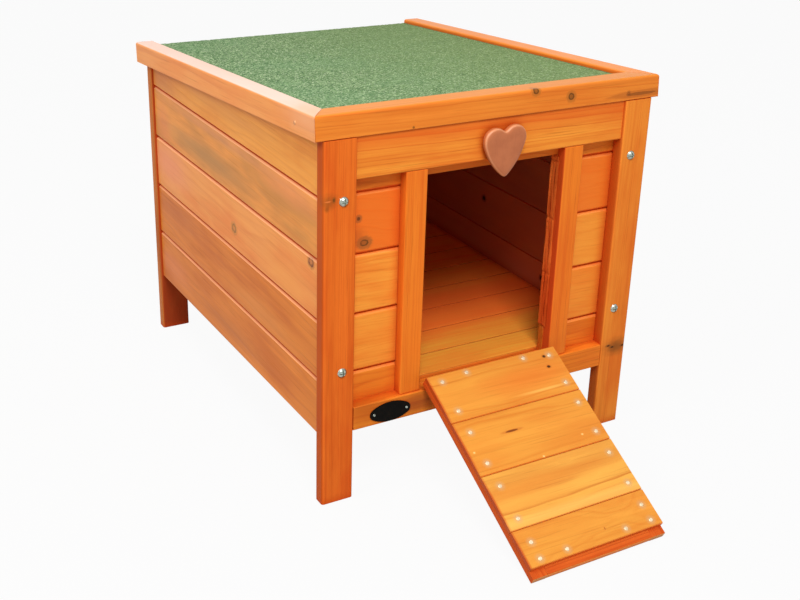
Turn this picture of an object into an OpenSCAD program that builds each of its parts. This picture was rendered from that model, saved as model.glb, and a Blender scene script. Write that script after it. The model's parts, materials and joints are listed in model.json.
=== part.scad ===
// Small animal hutch: framed cabin on four legs, hinged pent roof, ramp that folds up as its door.
// Millimetres, +Z up, front towards -Y. The origin is on the ground, in the middle of the whole
// hutch with its ramp down.

/* [Cabin] */
// Width over the corner posts
body_w = 404; // [370:1:460]
// Depth over the corner posts
body_d = 506; // [440:1:580]
// Height of the roof seat at the front
seat_h = 406; // [396:1:450]
// Fall of the roof towards the back, in degrees
roof_slope = 4; // [2:0.5:6]

/* [Frames] */
// Width of a corner post
post_w = 37; // [29:0.5:42]
// Thickness of a corner post
post_t = 16; // [14:0.5:22]
// Rounding of the long edges of a post
post_round = 3; // [1:0.5:5]
// Underside of the bottom rails above the ground
rail_base = 82; // [60:1:90]
// Height of a bottom rail
rail_h = 28; // [24:0.5:34]
// How far a bottom rail lies behind the face of the posts
bottom_set = 0.5; // [0:0.5:3]
// Height of the front top rail
front_rail_h = 44; // [36:1:50]
// Height of the rear top rail
rear_rail_h = 40; // [34:1:60]
// How far top rails and jambs lie behind the face of the posts
top_set = 3; // [1:0.5:5]
// Rounding of the long edges of rails and jambs
rail_round = 1.5; // [0.5:0.5:3]

/* [Doorway] */
// Clear width between the two jambs
door_w = 172; // [168:1:190]
// How far the doorway stands to the right of the middle
door_shift = 3.4; // [0:0.2:8]
// Width of a door jamb
jamb_w = 25; // [18:0.5:32]
// How far the head board hangs below the front top rail, inside the doorway
head_drop = 11; // [6:0.5:12]

/* [Boards] */
// Thickness of a shiplap board
board_t = 9; // [7:0.5:11]
// Height of the top course of boards at the front, up to the roof seat
top_course = 63; // [56:0.5:65]
// Lower edge of the lowest board above the ground
board_base = 77.5; // [70:0.5:80]
// First board joint above the ground
joint_z = 143.5; // [138:0.5:146]
// Height of the lap behind a board joint
lap_h = 8; // [5:0.5:12]
// Open gap of a board joint
joint_gap = 1.2; // [0.6:0.1:2]
// Bevel on the edges of a board joint
joint_bevel = 2.2; // [0.5:0.1:2.6]
// How far the side boards lie behind the outer face of the posts
side_set = 3; // [1:0.5:5]

/* [Inside] */
// Width of a corner batten and of a floor bearer
batten_w = 18; // [14:0.5:20]
// Depth of a corner batten
batten_d = 20; // [16:0.5:30]
// Height of a floor bearer
bearer_h = 15; // [10:0.5:20]
// Thickness of the floor boards
floor_t = 9; // [6:0.5:12]
// Upper face of the floor above the ground
floor_z = 114; // [113:0.5:120]
// Depth of the front floor board
floor_first = 43.5; // [40:0.5:60]
// Number of floor boards behind the front one
floor_n = 8; // [6:1:10]
// Open gap between two floor boards
floor_gap = 0.8; // [0.4:0.1:2]

/* [Roof] */
// Overhang of the roof past the posts on each side
roof_over = 8.5; // [6:0.5:14]
// How far the roof front lies behind the face of the front posts
roof_set = 0.8; // [0.6:0.1:3]
// Overhang of the roof past the rear posts
roof_rear_over = 10.54; // [8:0.01:14]
// Height of the roof trim
trim_h = 25; // [22:0.5:30]
// Width of the side trims
trim_side_w = 24; // [16:0.5:32]
// Width of the front trim
trim_front_w = 31; // [20:0.5:36]
// Rounding of the upper edges of the trims
trim_round = 3; // [1:0.5:5]
// Thickness of the roof deck
deck_t = 10; // [6:0.5:12]
// Thickness of the mineral felt
felt_t = 2.3; // [1.5:0.1:3]
// How far the felt lies below the top of the trims
felt_drop = 4.7; // [2:0.1:6]
// Width of the batten under the rear edge of the deck
roof_batten_w = 40; // [30:1:60]

/* [Ramp door] */
// Width of the ramp
ramp_w = 169; // [150:1:169]
// Gap between the free end of the shut ramp and the front top rail
ramp_play = 3.7; // [2:0.1:6]
// Width ratio of the four ramp boards from the hinge to the free end
ramp_boards = [61.5, 67, 65.5, 42]; // [30:0.5:70]
// Open gap between two ramp boards
ramp_gap = 0.6; // [0.3:0.1:2]
// Thickness of the ramp boards
ramp_board_t = 5.5; // [4:0.5:8]
// Thickness of the ramp frame
ramp_frame_t = 8; // [6:0.5:8]
// Width of the pieces of the ramp frame
ramp_frame_w = 18; // [14:0.5:24]
// How far the ramp frame reaches past the last board
ramp_over = 9; // [4:0.5:10]

/* [Heart button] */
// Width of the heart
heart_w = 52; // [50:0.5:56]
// Radius of the two lobes of the heart
lobe_r = 14; // [13:0.5:15]
// Pivot to the top of the lobes
heart_up = 17.5; // [16.5:0.5:18.5]
// Pivot to the tip of the heart
heart_down = 36.5; // [32:0.5:38]
// Radius of the tip
tip_r = 2.5; // [1.5:0.5:4]
// Radius of the two convex sides
heart_side_r = 70; // [50:5:120]
// Thickness of the heart
heart_t = 8.7; // [6:0.1:10]
// Radius of the boss behind the heart
boss_r = 8; // [6:0.5:9]
// Height of the pivot above the underside of the front top rail
heart_above = 19; // [18:0.5:22]
// How far the pivot stands to the right of the middle
heart_x = 4; // [0:0.5:5]
// How far the tip of the heart leans to the right, in degrees
heart_lean = 3.5; // [0:0.5:6]

/* [Oval plate] */
// Width of the plate
plate_w = 49.5; // [40:0.5:60]
// Height of the plate
plate_h = 23; // [18:0.5:24]
// Radius of the rounded ends of the plate
plate_end_r = 6.5; // [5:0.5:8]
// Thickness of the plate
plate_t = 1.2; // [0.8:0.1:2]
// Left side of the hutch to the middle of the plate
plate_in = 81.5; // [65:0.5:92]
// Distance between the two pins
plate_pins = 40; // [34:0.5:42]

/* [Hinges] */
// Radius of a hinge barrel
barrel_r = 2.6; // [2.2:0.1:3]
// Radius of a hinge pin
hinge_pin_r = 1.3; // [0.8:0.1:1.4]
// Thickness of a hinge leaf
leaf_t = 1.2; // [1:0.1:1.5]
// Depth of a hinge leaf from the pin
leaf_d = 14; // [13:0.5:14.5]
// Width of a roof hinge
roof_hinge_w = 40; // [36:1:60]
// Side of the hutch to the middle of a roof hinge
roof_hinge_in = 82; // [73:1:110]
// Width of a ramp hinge
ramp_hinge_w = 30; // [28:1:40]
// Side of the ramp to the middle of a ramp hinge
ramp_hinge_in = 34; // [24:1:45]

/* [Screws and nails] */
// Radius of the head of a panel screw
pan_r = 5.3; // [4:0.1:6]
// Height of the head of a panel screw
pan_h = 3.2; // [2.5:0.1:4]
// Radius of the shank of a panel screw
shank_r = 2.2; // [1.8:0.1:2.6]
// Length of the shank of a panel screw
shank_l = 32; // [28:0.5:34]
// Side of the hutch to a panel screw
screw_in = 22.5; // [21:0.1:23.5]
// Height of the lower panel screws above the bottom rails
screw_up = 45; // [30:1:90]
// Depth of the upper panel screws at the front below the roof seat
screw_down = 63.5; // [50:0.5:90]
// Depth of the upper panel screws at the back below the roof seat
screw_down_rear = 60.7; // [45:0.1:90]
// Radius of a nail head
nail_head_r = 2.3; // [1.8:0.1:2.6]
// Height of a nail head
nail_head_h = 0.6; // [0.4:0.1:1]
// Radius of a nail shank
nail_r = 0.8; // [0.5:0.1:1]
// Length of a nail shank in the ramp
nail_l = 11; // [8:0.5:12]
// Radius of the head of a hinge screw
hinge_head_r = 2.6; // [2.2:0.1:3]
// Radius of the shank of a hinge screw
hinge_screw_r = 1.4; // [1:0.1:1.5]
// Length of a hinge screw
hinge_screw_l = 7; // [5:0.5:7.5]

/* [Clearances] */
// Gap under the closed roof
roof_gap = 0.4; // [0.3:0.1:0.8]
// Radial play of a pin or a shank in its hole
fit = 0.05; // [0.02:0.01:0.1]
// Gap between surfaces that move past each other
move_gap = 0.3; // [0.3:0.05:0.6]
// Gap between a piece and the board beside it
board_play = 0.3; // [0:0.1:1]

/* [Hidden] */

wood = [0.91, 0.52, 0.18];
wood_side = [0.86, 0.56, 0.34];
wood_inside = [0.62, 0.27, 0.10];
felt_green = [0.46, 0.58, 0.38];
zinc = [0.80, 0.80, 0.78];
black = [0.06, 0.06, 0.06];
heart_pink = [0.74, 0.46, 0.34];

big = 1000;
cut = 1;
fine = 48;
half_w = body_w / 2;
lintel_z = seat_h - front_rail_h;
head_z = lintel_z - head_drop;
heart_z = lintel_z + heart_above;
plate_x = half_w - plate_in;
roof_hinge_x = half_w - roof_hinge_in;
screw_x = half_w - screw_in;
frame_back = post_t;
board_back = frame_back + board_t;
side_outer = half_w - side_set;
side_inner = side_outer - board_t;
batten_inner = side_inner - batten_w;
infill_end = batten_inner - board_play;
rail_l = body_w - 2 * post_w;
rear_frame = body_d - post_t;
rail_top = rail_base + rail_h;
courses = 5;
board_pitch = (seat_h - joint_z - top_course) / (courses - 2);
edge = 0.8;
trim_nail_y = 44;
trim_nail_z = 11;
trim_nail_l = 14;
// Rows of outer nails on each ramp board, from its upper and from its lower edge.
ramp_nail_rows = [[10, 13], [15, 13], [15, 11.5], [16, 7.3]];
ramp_nail_side = 13.5;
ramp_nail_inner = 46.75;
ramp_nail_shift = 2;
ramp_nail_top = 5.7;
nail_play = 0.5;
nail_head_taper = 0.75;
recess_w = 1.1;
recess_reach = 0.65;
recess_deep = 0.55;
boss_h = 2.5;
heart_screw_r = 2;
heart_screw_head_r = 4;
heart_screw_head_h = 2.4;
heart_screw_tip = 5;
plate_pin_l = 8;
plate_pin_head_r = 1.5;
hinge_screw_y = 9;
hinge_screw_in = 4.5;
hinge_screw_step = 6;
hinge_head_h = 0.5;
barrel_proud = 0.5;
ramp_foot_gap = 0.4;
jamb_left = door_shift - door_w / 2;
jamb_right = door_shift + door_w / 2;
floor_front = board_back + board_play;
floor_rear = rear_frame - board_t - board_play;
floor_pitch = (floor_rear - floor_front - floor_first) / floor_n;

// Roof, in its own frame: Y runs down the slope from the front edge, Z stands on its underside.
roof_w = body_w + 2 * roof_over;
roof_l = (body_d + roof_rear_over - roof_set) / cos(roof_slope);
seat_rear = seat_h - (body_d - roof_set) * tan(roof_slope);
roof_in = roof_w / 2 - trim_side_w;
felt_base = trim_h - felt_drop - felt_t;
deck_base = felt_base - deck_t;
rail_face_rear = body_d - top_set;
roof_pin_drop = barrel_r + move_gap;
roof_pin_y = rail_face_rear + barrel_r + move_gap;
roof_pin_l = (roof_pin_y - roof_set + roof_pin_drop * sin(roof_slope)) / cos(roof_slope);
roof_pin_z = seat_h - roof_pin_l * sin(roof_slope) - roof_pin_drop * cos(roof_slope);
roof_rear_y = roof_set + roof_l * cos(roof_slope) + trim_h * sin(roof_slope);

ramp_hinge_x = ramp_w / 2 - ramp_hinge_in;

// Ramp, built shut and upright, then swung down about its pin until its frame meets the ground.
ramp_pin_z = rail_top + barrel_r + move_gap;
ramp_pin_y = bottom_set + barrel_r - barrel_proud;
ramp_z = ramp_pin_z + ramp_foot_gap;
ramp_l = lintel_z - ramp_play - ramp_z;
ramp_boards_l = ramp_l - ramp_over;
ramp_share = ramp_boards_l / (ramp_boards[0] + ramp_boards[1] + ramp_boards[2] + ramp_boards[3]);
ramp_lap_y = frame_back - move_gap;
ramp_outer_y = ramp_lap_y - ramp_frame_t;
ramp_arm = norm([ramp_outer_y - ramp_pin_y, ramp_z + ramp_l - ramp_pin_z]);
ramp_lean = atan2(ramp_outer_y - ramp_pin_y, ramp_z + ramp_l - ramp_pin_z);
ramp_swing = acos(-ramp_pin_z / ramp_arm) + ramp_lean;
ramp_tip_y = ramp_pin_y + (ramp_lap_y - ramp_pin_y) * cos(ramp_swing)
    - (ramp_z + ramp_l - ramp_pin_z) * sin(ramp_swing);

ramp_inner_y = ramp_lap_y + ramp_board_t;

// Face of the front posts, which brings the middle of the whole hutch to the origin.
front_y = -(roof_rear_y + ramp_tip_y) / 2;

// Heart: on each side a lobe, a convex side and the tip, each arc tangent to the next.
heart_front = top_set - move_gap - boss_h - heart_t;
lobe = [heart_w / 2 - lobe_r, heart_up - lobe_r];
tip = [0, tip_r - heart_down];
heart_run = norm(tip - lobe);
run_dir = (tip - lobe) / heart_run;
side_along = (pow(heart_side_r - lobe_r, 2) - pow(heart_side_r - tip_r, 2) + pow(heart_run, 2))
    / (2 * heart_run);
side_across = sqrt(pow(heart_side_r - lobe_r, 2) - pow(side_along, 2));
side_centre = lobe + side_along * run_dir + side_across * [run_dir[1], -run_dir[0]];
side_from = atan2(lobe[1] - side_centre[1], lobe[0] - side_centre[0]);
side_to = atan2(tip[1] - side_centre[1], tip[0] - side_centre[0]);

// Oval plate: two end arcs and two long arcs that meet without a corner.
plate_z = rail_base + rail_h / 2 - 1;
plate_side_r = (pow(plate_w / 2 - plate_end_r, 2) + pow(plate_h / 2, 2) - pow(plate_end_r, 2))
    / (plate_h - 2 * plate_end_r);
plate_meet = (plate_w / 2 - plate_end_r) * plate_side_r / (plate_side_r - plate_end_r);

// Hinge leaves, measured from the pin.
fixed_leaf_z = -barrel_r - move_gap;
ramp_leaf_z = ramp_foot_gap - leaf_t;
roof_leaf_z = roof_pin_drop - leaf_t;

// Moves a piece from the cabin's frame, where Y is 0 at the face of the front posts, to the origin.
module placed() {
    translate([0, front_y, 0])
        children();
}

// Puts a piece of the roof in its place.
module on_roof() {
    placed()
        translate([0, roof_set, seat_h])
            rotate([-roof_slope, 0, 0])
                children();
}

// Swings a piece of the upright ramp down to the ground.
module on_ramp() {
    placed()
        translate([0, ramp_pin_y, ramp_pin_z])
            rotate([ramp_swing, 0, 0])
                translate([0, -ramp_pin_y, -ramp_pin_z])
                    children();
}

// Cuts what reaches above the seat of the roof.
module below_roof(gap = roof_gap) {
    difference() {
        children();
        translate([0, roof_set, seat_h])
            rotate([-roof_slope, 0, 0])
                translate([-big / 2, -big / 2, -gap])
                    cube([big, 2 * big, big]);
    }
}

module rounded_rect(size, r) {
    translate([r, 0])
        square([size[0] - 2 * r, size[1]]);
    translate([0, r])
        square([size[0], size[1] - 2 * r]);
    for (x = [r, size[0] - r], y = [r, size[1] - r])
        translate([x, y])
            circle(r = r, $fn = fine);
}

// Upright bar from corner p to p + size, with its four long edges rounded.
module upright(p, size, r) {
    translate(p)
        linear_extrude(size[2])
            rounded_rect([size[0], size[1]], r);
}

// Bar along X from corner p to p + size, with its four long edges rounded.
module crosswise(p, size, r) {
    translate(p)
        rotate([90, 0, 90])
            linear_extrude(size[0])
                rounded_rect([size[1], size[2]], r);
}

// Hole or shank along Y.
module rod_y(p, r, l) {
    translate(p)
        rotate([-90, 0, 0])
            cylinder(r = r, h = l, $fn = fine);
}

module rod_z(p, r, l) {
    translate(p)
        cylinder(r = r, h = l, $fn = fine);
}

// Panel screws

function screw_heights(rear) =
    [rail_base + rail_h + screw_up, rear ? seat_rear - screw_down_rear : seat_h - screw_down];

module screw_holes(rear) {
    for (x = [-screw_x, screw_x], z = screw_heights(rear))
        rod_y([x, rear ? body_d - shank_l : -cut, z], shank_r + fit, shank_l + cut);
}

// Cross recess in the top of a screw head of radius r that stands h high on Z 0.
module cross_recess(r, h) {
    for (turn = [0, 90])
        rotate([0, 0, turn])
            translate([-recess_reach * r, -recess_w / 2, (1 - recess_deep) * h])
                cube([2 * recess_reach * r, recess_w, h]);
}

// Screw with a domed head and a cross recess, head towards -Y.
module pan_screw() {
    dome_r = (pan_r * pan_r + pan_h * pan_h) / (2 * pan_h);
    rotate([90, 0, 0])
        difference() {
            rotate_extrude($fn = fine)
                intersection() {
                    square([pan_r, pan_h]);
                    translate([0, pan_h - dome_r])
                        circle(r = dome_r, $fn = 2 * fine);
                }
            cross_recess(pan_r, pan_h);
        }
    rod_y([0, 0, 0], shank_r, shank_l);
}

module panel_screws() {
    color(zinc)
        placed() {
            for (x = [-screw_x, screw_x], z = screw_heights(false))
                translate([x, 0, z])
                    pan_screw();
            for (x = [-screw_x, screw_x], z = screw_heights(true))
                translate([x, body_d, z])
                    rotate([0, 0, 180])
                        pan_screw();
        }
}

// Posts, rails and jambs

module post(side, rear) {
    color(wood)
        placed()
            difference() {
                below_roof()
                    upright([side < 0 ? -half_w : half_w - post_w, rear ? rear_frame : 0, 0],
                        [post_w, post_t, seat_h + cut], post_round);
                screw_holes(rear);
            }
}

module front_left_post() { post(-1, false); }
module front_right_post() { post(1, false); }
module rear_left_post() { post(-1, true); }
module rear_right_post() { post(1, true); }

module front_top_rail() {
    color(wood)
        placed()
            difference() {
                below_roof()
                    crosswise([-rail_l / 2, top_set, lintel_z],
                        [rail_l, frame_back - top_set, seat_h - lintel_z + 2 * rail_round], rail_round);
                rod_y([heart_x, 0, heart_z], heart_screw_r + fit, frame_back + cut);
            }
}

module front_bottom_rail() {
    color(wood)
        placed()
            difference() {
                crosswise([-rail_l / 2, bottom_set, rail_base],
                    [rail_l, frame_back - bottom_set, rail_h], rail_round);
                for (x = plate_pin_xs())
                    rod_y([x, 0, plate_z], nail_r + fit, plate_pin_l);
                hinge_screw_holes_ramp_frame();
            }
}

module rear_top_rail() {
    top_z = seat_h - (rail_face_rear - roof_set) * tan(roof_slope);
    recess = leaf_t + hinge_head_h + roof_gap;
    color(wood)
        placed()
            difference() {
                below_roof()
                    crosswise([-rail_l / 2, rear_frame, top_z - rear_rail_h],
                        [rail_l, rail_face_rear - rear_frame, rear_rail_h + post_t], rail_round);
                for (x = [-roof_hinge_x, roof_hinge_x])
                    intersection() {
                        difference() {
                            cube([2 * big, 2 * big, 2 * big], center = true);
                            below_roof(recess)
                                cube([2 * big, 2 * big, 2 * big], center = true);
                        }
                        translate([x - roof_hinge_w / 2 - roof_gap, 0, 0])
                            cube([roof_hinge_w + 2 * roof_gap, big, big]);
                    }
                hinge_screw_holes_roof_frame();
            }
}

module rear_bottom_rail() {
    color(wood)
        placed()
            crosswise([-rail_l / 2, rear_frame, rail_base],
                [rail_l, body_d - bottom_set - rear_frame, rail_h], rail_round);
}

module jamb(x) {
    color(wood)
        placed()
            upright([x, top_set, rail_top], [jamb_w, frame_back - top_set, lintel_z - rail_top], rail_round);
}

module left_jamb() { jamb(jamb_left - jamb_w); }
module right_jamb() { jamb(jamb_right); }

// Shiplap boards

function course_low(k) = k == 1 ? board_base : joint_z + (k - 2) * board_pitch;
function course_high(k) = k == courses ? seat_h + cut : joint_z + (k - 1) * board_pitch;

// Section of board k: X from its outer face inwards, Y up.
module board_section(k) {
    low = course_low(k);
    high = course_high(k);
    lip = board_t / 2;
    tongue = lip + board_play;
    foot = k == 1 ? low : low + joint_gap / 2;
    shoulder = high - joint_gap / 2;
    heel = k == 1 ? low : low + lap_h + joint_gap;
    tip = k == courses ? high : high + lap_h;
    polygon(concat(
        [[0, foot + joint_bevel], [joint_bevel, foot], [lip, foot], [lip, heel], [board_t, heel]],
        [[board_t, tip], [tongue, tip], [tongue, shoulder]],
        [[joint_bevel, shoulder], [0, shoulder - joint_bevel]]
    ));
}

// Board k along X from x0 to x1, outer face towards -Y at y.
module board_x(k, x0, x1, y) {
    translate([x0, y, 0])
        rotate([90, 0, 90])
            linear_extrude(x1 - x0)
                board_section(k);
}

module side_board(side, k) {
    color(wood_side)
        placed()
            below_roof()
                mirror([side > 0 ? 1 : 0, 0, 0])
                    translate([-side_outer, rear_frame, 0])
                        rotate([90, 0, 0])
                            linear_extrude(rear_frame - frame_back)
                                board_section(k);
}

module left_board_1() { side_board(-1, 1); }
module left_board_2() { side_board(-1, 2); }
module left_board_3() { side_board(-1, 3); }
module left_board_4() { side_board(-1, 4); }
module left_board_5() { side_board(-1, 5); }
module right_board_1() { side_board(1, 1); }
module right_board_2() { side_board(1, 2); }
module right_board_3() { side_board(1, 3); }
module right_board_4() { side_board(1, 4); }
module right_board_5() { side_board(1, 5); }

module front_sill_board() {
    color(wood)
        placed()
            difference() {
                board_x(1, -infill_end, infill_end, frame_back);
                translate([jamb_left, frame_back - cut, rail_top])
                    cube([door_w, board_t + 2 * cut, board_pitch]);
            }
}

module front_left_boards() {
    color(wood)
        placed()
            for (k = [2 : courses - 1])
                board_x(k, -infill_end, jamb_left, frame_back);
}

module front_right_boards() {
    color(wood)
        placed()
            for (k = [2 : courses - 1])
                board_x(k, jamb_right, infill_end, frame_back);
}

module front_head_board() {
    color(wood)
        placed()
            difference() {
                below_roof()
                    board_x(courses, -infill_end, infill_end, frame_back);
                translate([jamb_left, frame_back - cut, course_low(courses) - cut])
                    cube([door_w, board_t + 2 * cut, head_z - course_low(courses) + cut]);
                rod_y([heart_x, 0, heart_z], heart_screw_r + fit, board_back + cut);
            }
}

module rear_boards() {
    color(wood_side)
        placed()
            below_roof()
                for (k = [1 : courses])
                    translate([0, rear_frame, 0])
                        rotate([0, 0, 180])
                            board_x(k, -infill_end, infill_end, 0);
}

// Battens and floor

module batten(side, rear) {
    color(wood_inside)
        placed()
            difference() {
                below_roof()
                    translate([side < 0 ? -side_inner : batten_inner,
                        rear ? rear_frame - batten_d : frame_back, board_base])
                        cube([batten_w, batten_d, seat_h - board_base]);
                screw_holes(rear);
            }
}

module front_left_batten() { batten(-1, false); }
module front_right_batten() { batten(1, false); }
module rear_left_batten() { batten(-1, true); }
module rear_right_batten() { batten(1, true); }

module floor_bearers() {
    color(wood_inside)
        placed()
            for (x = [-side_inner, batten_inner])
                translate([x, frame_back + batten_d, floor_z - floor_t - bearer_h])
                    cube([batten_w, rear_frame - frame_back - 2 * batten_d, bearer_h]);
}

module floor_board(y0, y1) {
    w = side_inner - board_play;
    translate([-w, 0, floor_z - floor_t])
        rotate([90, 0, 90])
            linear_extrude(2 * w)
                polygon([[y0, 0], [y1, 0], [y1, floor_t - edge], [y1 - edge, floor_t],
                    [y0 + edge, floor_t], [y0, floor_t - edge]]);
}

module floor_boards() {
    first_end = floor_front + floor_first;
    color(wood_inside)
        placed()
            difference() {
                union() {
                    floor_board(floor_front, first_end - floor_gap);
                    for (i = [0 : floor_n - 1])
                        floor_board(first_end + i * floor_pitch,
                            first_end + (i + 1) * floor_pitch - (i < floor_n - 1 ? floor_gap : 0));
                }
                for (x = [-1, 1], y = [frame_back, rear_frame - batten_d])
                    translate([x < 0 ? -side_inner - cut : batten_inner - board_play,
                        y - board_play, floor_z - floor_t - cut])
                        cube([batten_w + board_play + cut, batten_d + 2 * board_play, floor_t + 2 * cut]);
            }
}

// Roof

function trim_corner(side) = side * roof_w / 2;

// Wedge in front of the mitre line of one front corner.
module mitre(side, front) {
    outer = trim_corner(side);
    inner = side * roof_in;
    translate([0, 0, -cut])
        linear_extrude(trim_h + 2 * cut)
            polygon(front
                ? [[outer, 0], [inner, trim_front_w], [outer + side * cut, trim_front_w + cut],
                    [outer + side * cut, 0]]
                : [[outer, 0], [inner, trim_front_w], [inner - side * cut, trim_front_w],
                    [inner - side * cut, -cut], [outer, -cut]]);
}

module roof_trim_front() {
    color(wood)
        on_roof()
            difference() {
                translate([-roof_w / 2, 0, 0])
                    rotate([90, 0, 90])
                        linear_extrude(roof_w)
                            trim_section(trim_front_w);
                mitre(-1, true);
                mitre(1, true);
            }
}

// Section of a trim with its outer side at X 0 and both upper edges rounded.
module trim_section(w) {
    square([w, trim_h - trim_round]);
    translate([trim_round, 0])
        square([w - 2 * trim_round, trim_h]);
    for (x = [trim_round, w - trim_round])
        translate([x, trim_h - trim_round])
            circle(r = trim_round, $fn = fine);
}

module side_trim(side) {
    color(wood)
        on_roof()
            difference() {
                mirror([side > 0 ? 1 : 0, 0, 0])
                    translate([-roof_w / 2, roof_l, 0])
                        rotate([90, 0, 0])
                            linear_extrude(roof_l)
                                trim_section(trim_side_w);
                mitre(side, false);
                trim_nail_hole(side);
            }
}

module roof_trim_left() { side_trim(-1); }
module roof_trim_right() { side_trim(1); }

module trim_nail_hole(side) {
    translate([trim_corner(side), trim_nail_y, trim_nail_z])
        rotate([0, side * 90, 0])
            rod_z([0, 0, -trim_nail_l], nail_r + fit, trim_nail_l + cut);
}

module roof_trim_nails() {
    color(zinc)
        on_roof()
            for (side = [-1, 1])
                translate([trim_corner(side), trim_nail_y, trim_nail_z])
                    rotate([0, side * 90, 0])
                        nail(trim_nail_l);
}

module roof_deck() {
    color(wood_inside)
        on_roof()
            translate([-roof_in, trim_front_w, deck_base])
                cube([2 * roof_in, roof_l - trim_front_w, deck_t]);
}

module roof_felt() {
    color(felt_green)
        on_roof()
            translate([-roof_in, trim_front_w, felt_base])
                cube([2 * roof_in, roof_l - trim_front_w, felt_t]);
}

module roof_rear_batten() {
    color(wood_inside)
        on_roof()
            difference() {
                translate([-roof_in, roof_l - roof_batten_w, 0])
                    cube([2 * roof_in, roof_batten_w, deck_base]);
                hinge_screw_holes_roof();
            }
}

// Nails

// Nail along Z with its head above Z 0.
module nail(l, head_r = nail_head_r) {
    rod_z([0, 0, -l], nail_r, l);
    cylinder(r1 = head_r, r2 = nail_head_taper * head_r, h = nail_head_h, $fn = fine);
}

function ramp_board_w(i) = ramp_share * ramp_boards[i];
function board_start(i) = i == 0 ? 0 : board_start(i - 1) + ramp_board_w(i - 1);

function inner_nail(side, along) = [side * (ramp_w / 2 - ramp_nail_inner) + ramp_nail_shift, along];

// Nail places on board i, from the middle of the ramp's hinge edge.
function nail_places(i) = concat(
    [for (x = [-1, 1], z = [ramp_nail_rows[i][0], ramp_board_w(i) - ramp_nail_rows[i][1]])
        [x * (ramp_w / 2 - ramp_nail_side) + ramp_nail_shift, board_start(i) + z]],
    i == 0 ? [for (x = [-1, 1]) inner_nail(x, ramp_nail_top)] : [],
    i == 3 ? [for (x = [-1, 1]) inner_nail(x, ramp_boards_l - ramp_nail_rows[3][1])] : []
);

module ramp_nail_holes() {
    for (i = [0 : 3], p = nail_places(i))
        rod_y([door_shift + p[0], ramp_inner_y - nail_l, ramp_z + p[1]], nail_r + fit, nail_l + cut);
}

module ramp_nails() {
    color(zinc)
        on_ramp()
            for (i = [0 : 3], p = nail_places(i))
                translate([door_shift + p[0], ramp_inner_y, ramp_z + p[1]])
                    rotate([-90, 0, 0])
                        nail(nail_l - nail_play);
}

// Ramp

module ramp_board(i) {
    low = ramp_z + board_start(i);
    high = low + ramp_board_w(i) - (i < 3 ? ramp_gap : 0);
    color(wood)
        on_ramp()
            difference() {
                translate([door_shift - ramp_w / 2, ramp_lap_y, 0])
                    rotate([90, 0, 90])
                        linear_extrude(ramp_w)
                            polygon([[0, low], [0, high], [ramp_board_t - edge, high],
                                [ramp_board_t, high - edge], [ramp_board_t, low + edge],
                                [ramp_board_t - edge, low]]);
                ramp_nail_holes();
            }
}

module ramp_board_1() { ramp_board(0); }
module ramp_board_2() { ramp_board(1); }
module ramp_board_3() { ramp_board(2); }
module ramp_board_4() { ramp_board(3); }

module ramp_stile(side) {
    color(wood)
        on_ramp()
            difference() {
                upright([door_shift + (side < 0 ? -ramp_w / 2 : ramp_w / 2 - ramp_frame_w),
                    ramp_outer_y, ramp_z], [ramp_frame_w, ramp_frame_t, ramp_l], edge);
                ramp_nail_holes();
                hinge_screw_holes_ramp();
            }
}

module ramp_left_stile() { ramp_stile(-1); }
module ramp_right_stile() { ramp_stile(1); }

module ramp_rail(z) {
    color(wood)
        on_ramp()
            difference() {
                crosswise([door_shift - ramp_w / 2 + ramp_frame_w, ramp_outer_y, z],
                    [ramp_w - 2 * ramp_frame_w, ramp_frame_t, ramp_frame_w], edge);
                ramp_nail_holes();
                hinge_screw_holes_ramp();
            }
}

module ramp_head_rail() { ramp_rail(ramp_z); }
module ramp_foot_rail() { ramp_rail(ramp_z + ramp_l - ramp_frame_w); }

// Heart button

function arc(c, r, a0, a1, n) = [for (i = [0 : n - 1]) let (a = a0 + (a1 - a0) * i / n)
    c + r * [cos(a), sin(a)]];

module heart_outline() {
    half = concat(
        arc(lobe, lobe_r, acos(-lobe[0] / lobe_r), side_from, fine),
        arc(side_centre, heart_side_r, side_from, side_to, fine / 4),
        arc(tip, tip_r, side_to, -90, fine / 4)
    );
    last = len(half) - 1;
    polygon(concat(half, [tip - [0, tip_r]], [for (i = [0 : last - 1]) [-half[last - i][0], half[last - i][1]]]));
}

module heart_button() {
    color(heart_pink)
        placed()
            translate([heart_x, heart_front, heart_z])
                rotate([0, -heart_lean, 0])
                    difference() {
                        union() {
                            mirror([0, 1, 0])
                                rotate([90, 0, 0])
                                    linear_extrude(heart_t)
                                        heart_outline();
                            rod_y([0, heart_t, 0], boss_r, boss_h);
                        }
                        rod_y([0, heart_screw_tip - fit, 0], heart_screw_r + fit, heart_t + boss_h);
                    }
}

module heart_screw() {
    head_y = board_back + move_gap;
    start = heart_front + heart_screw_tip;
    color(zinc)
        placed()
            translate([heart_x, head_y, heart_z])
                rotate([-90, 0, 0])
                    difference() {
                        union() {
                            rod_z([0, 0, start - head_y], heart_screw_r, head_y - start);
                            rod_z([0, 0, 0], heart_screw_head_r, heart_screw_head_h);
                        }
                        cross_recess(heart_screw_head_r, heart_screw_head_h);
                    }
}

// Oval plate

function plate_pin_xs() = [-plate_x - plate_pins / 2, -plate_x + plate_pins / 2];

module oval() {
    for (s = [-1, 1])
        translate([s * (plate_w / 2 - plate_end_r), 0])
            circle(r = plate_end_r, $fn = fine);
    intersection() {
        translate([0, plate_h / 2 - plate_side_r])
            circle(r = plate_side_r, $fn = 4 * fine);
        translate([0, plate_side_r - plate_h / 2])
            circle(r = plate_side_r, $fn = 4 * fine);
        square([2 * plate_meet, plate_h], center = true);
    }
}

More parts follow.
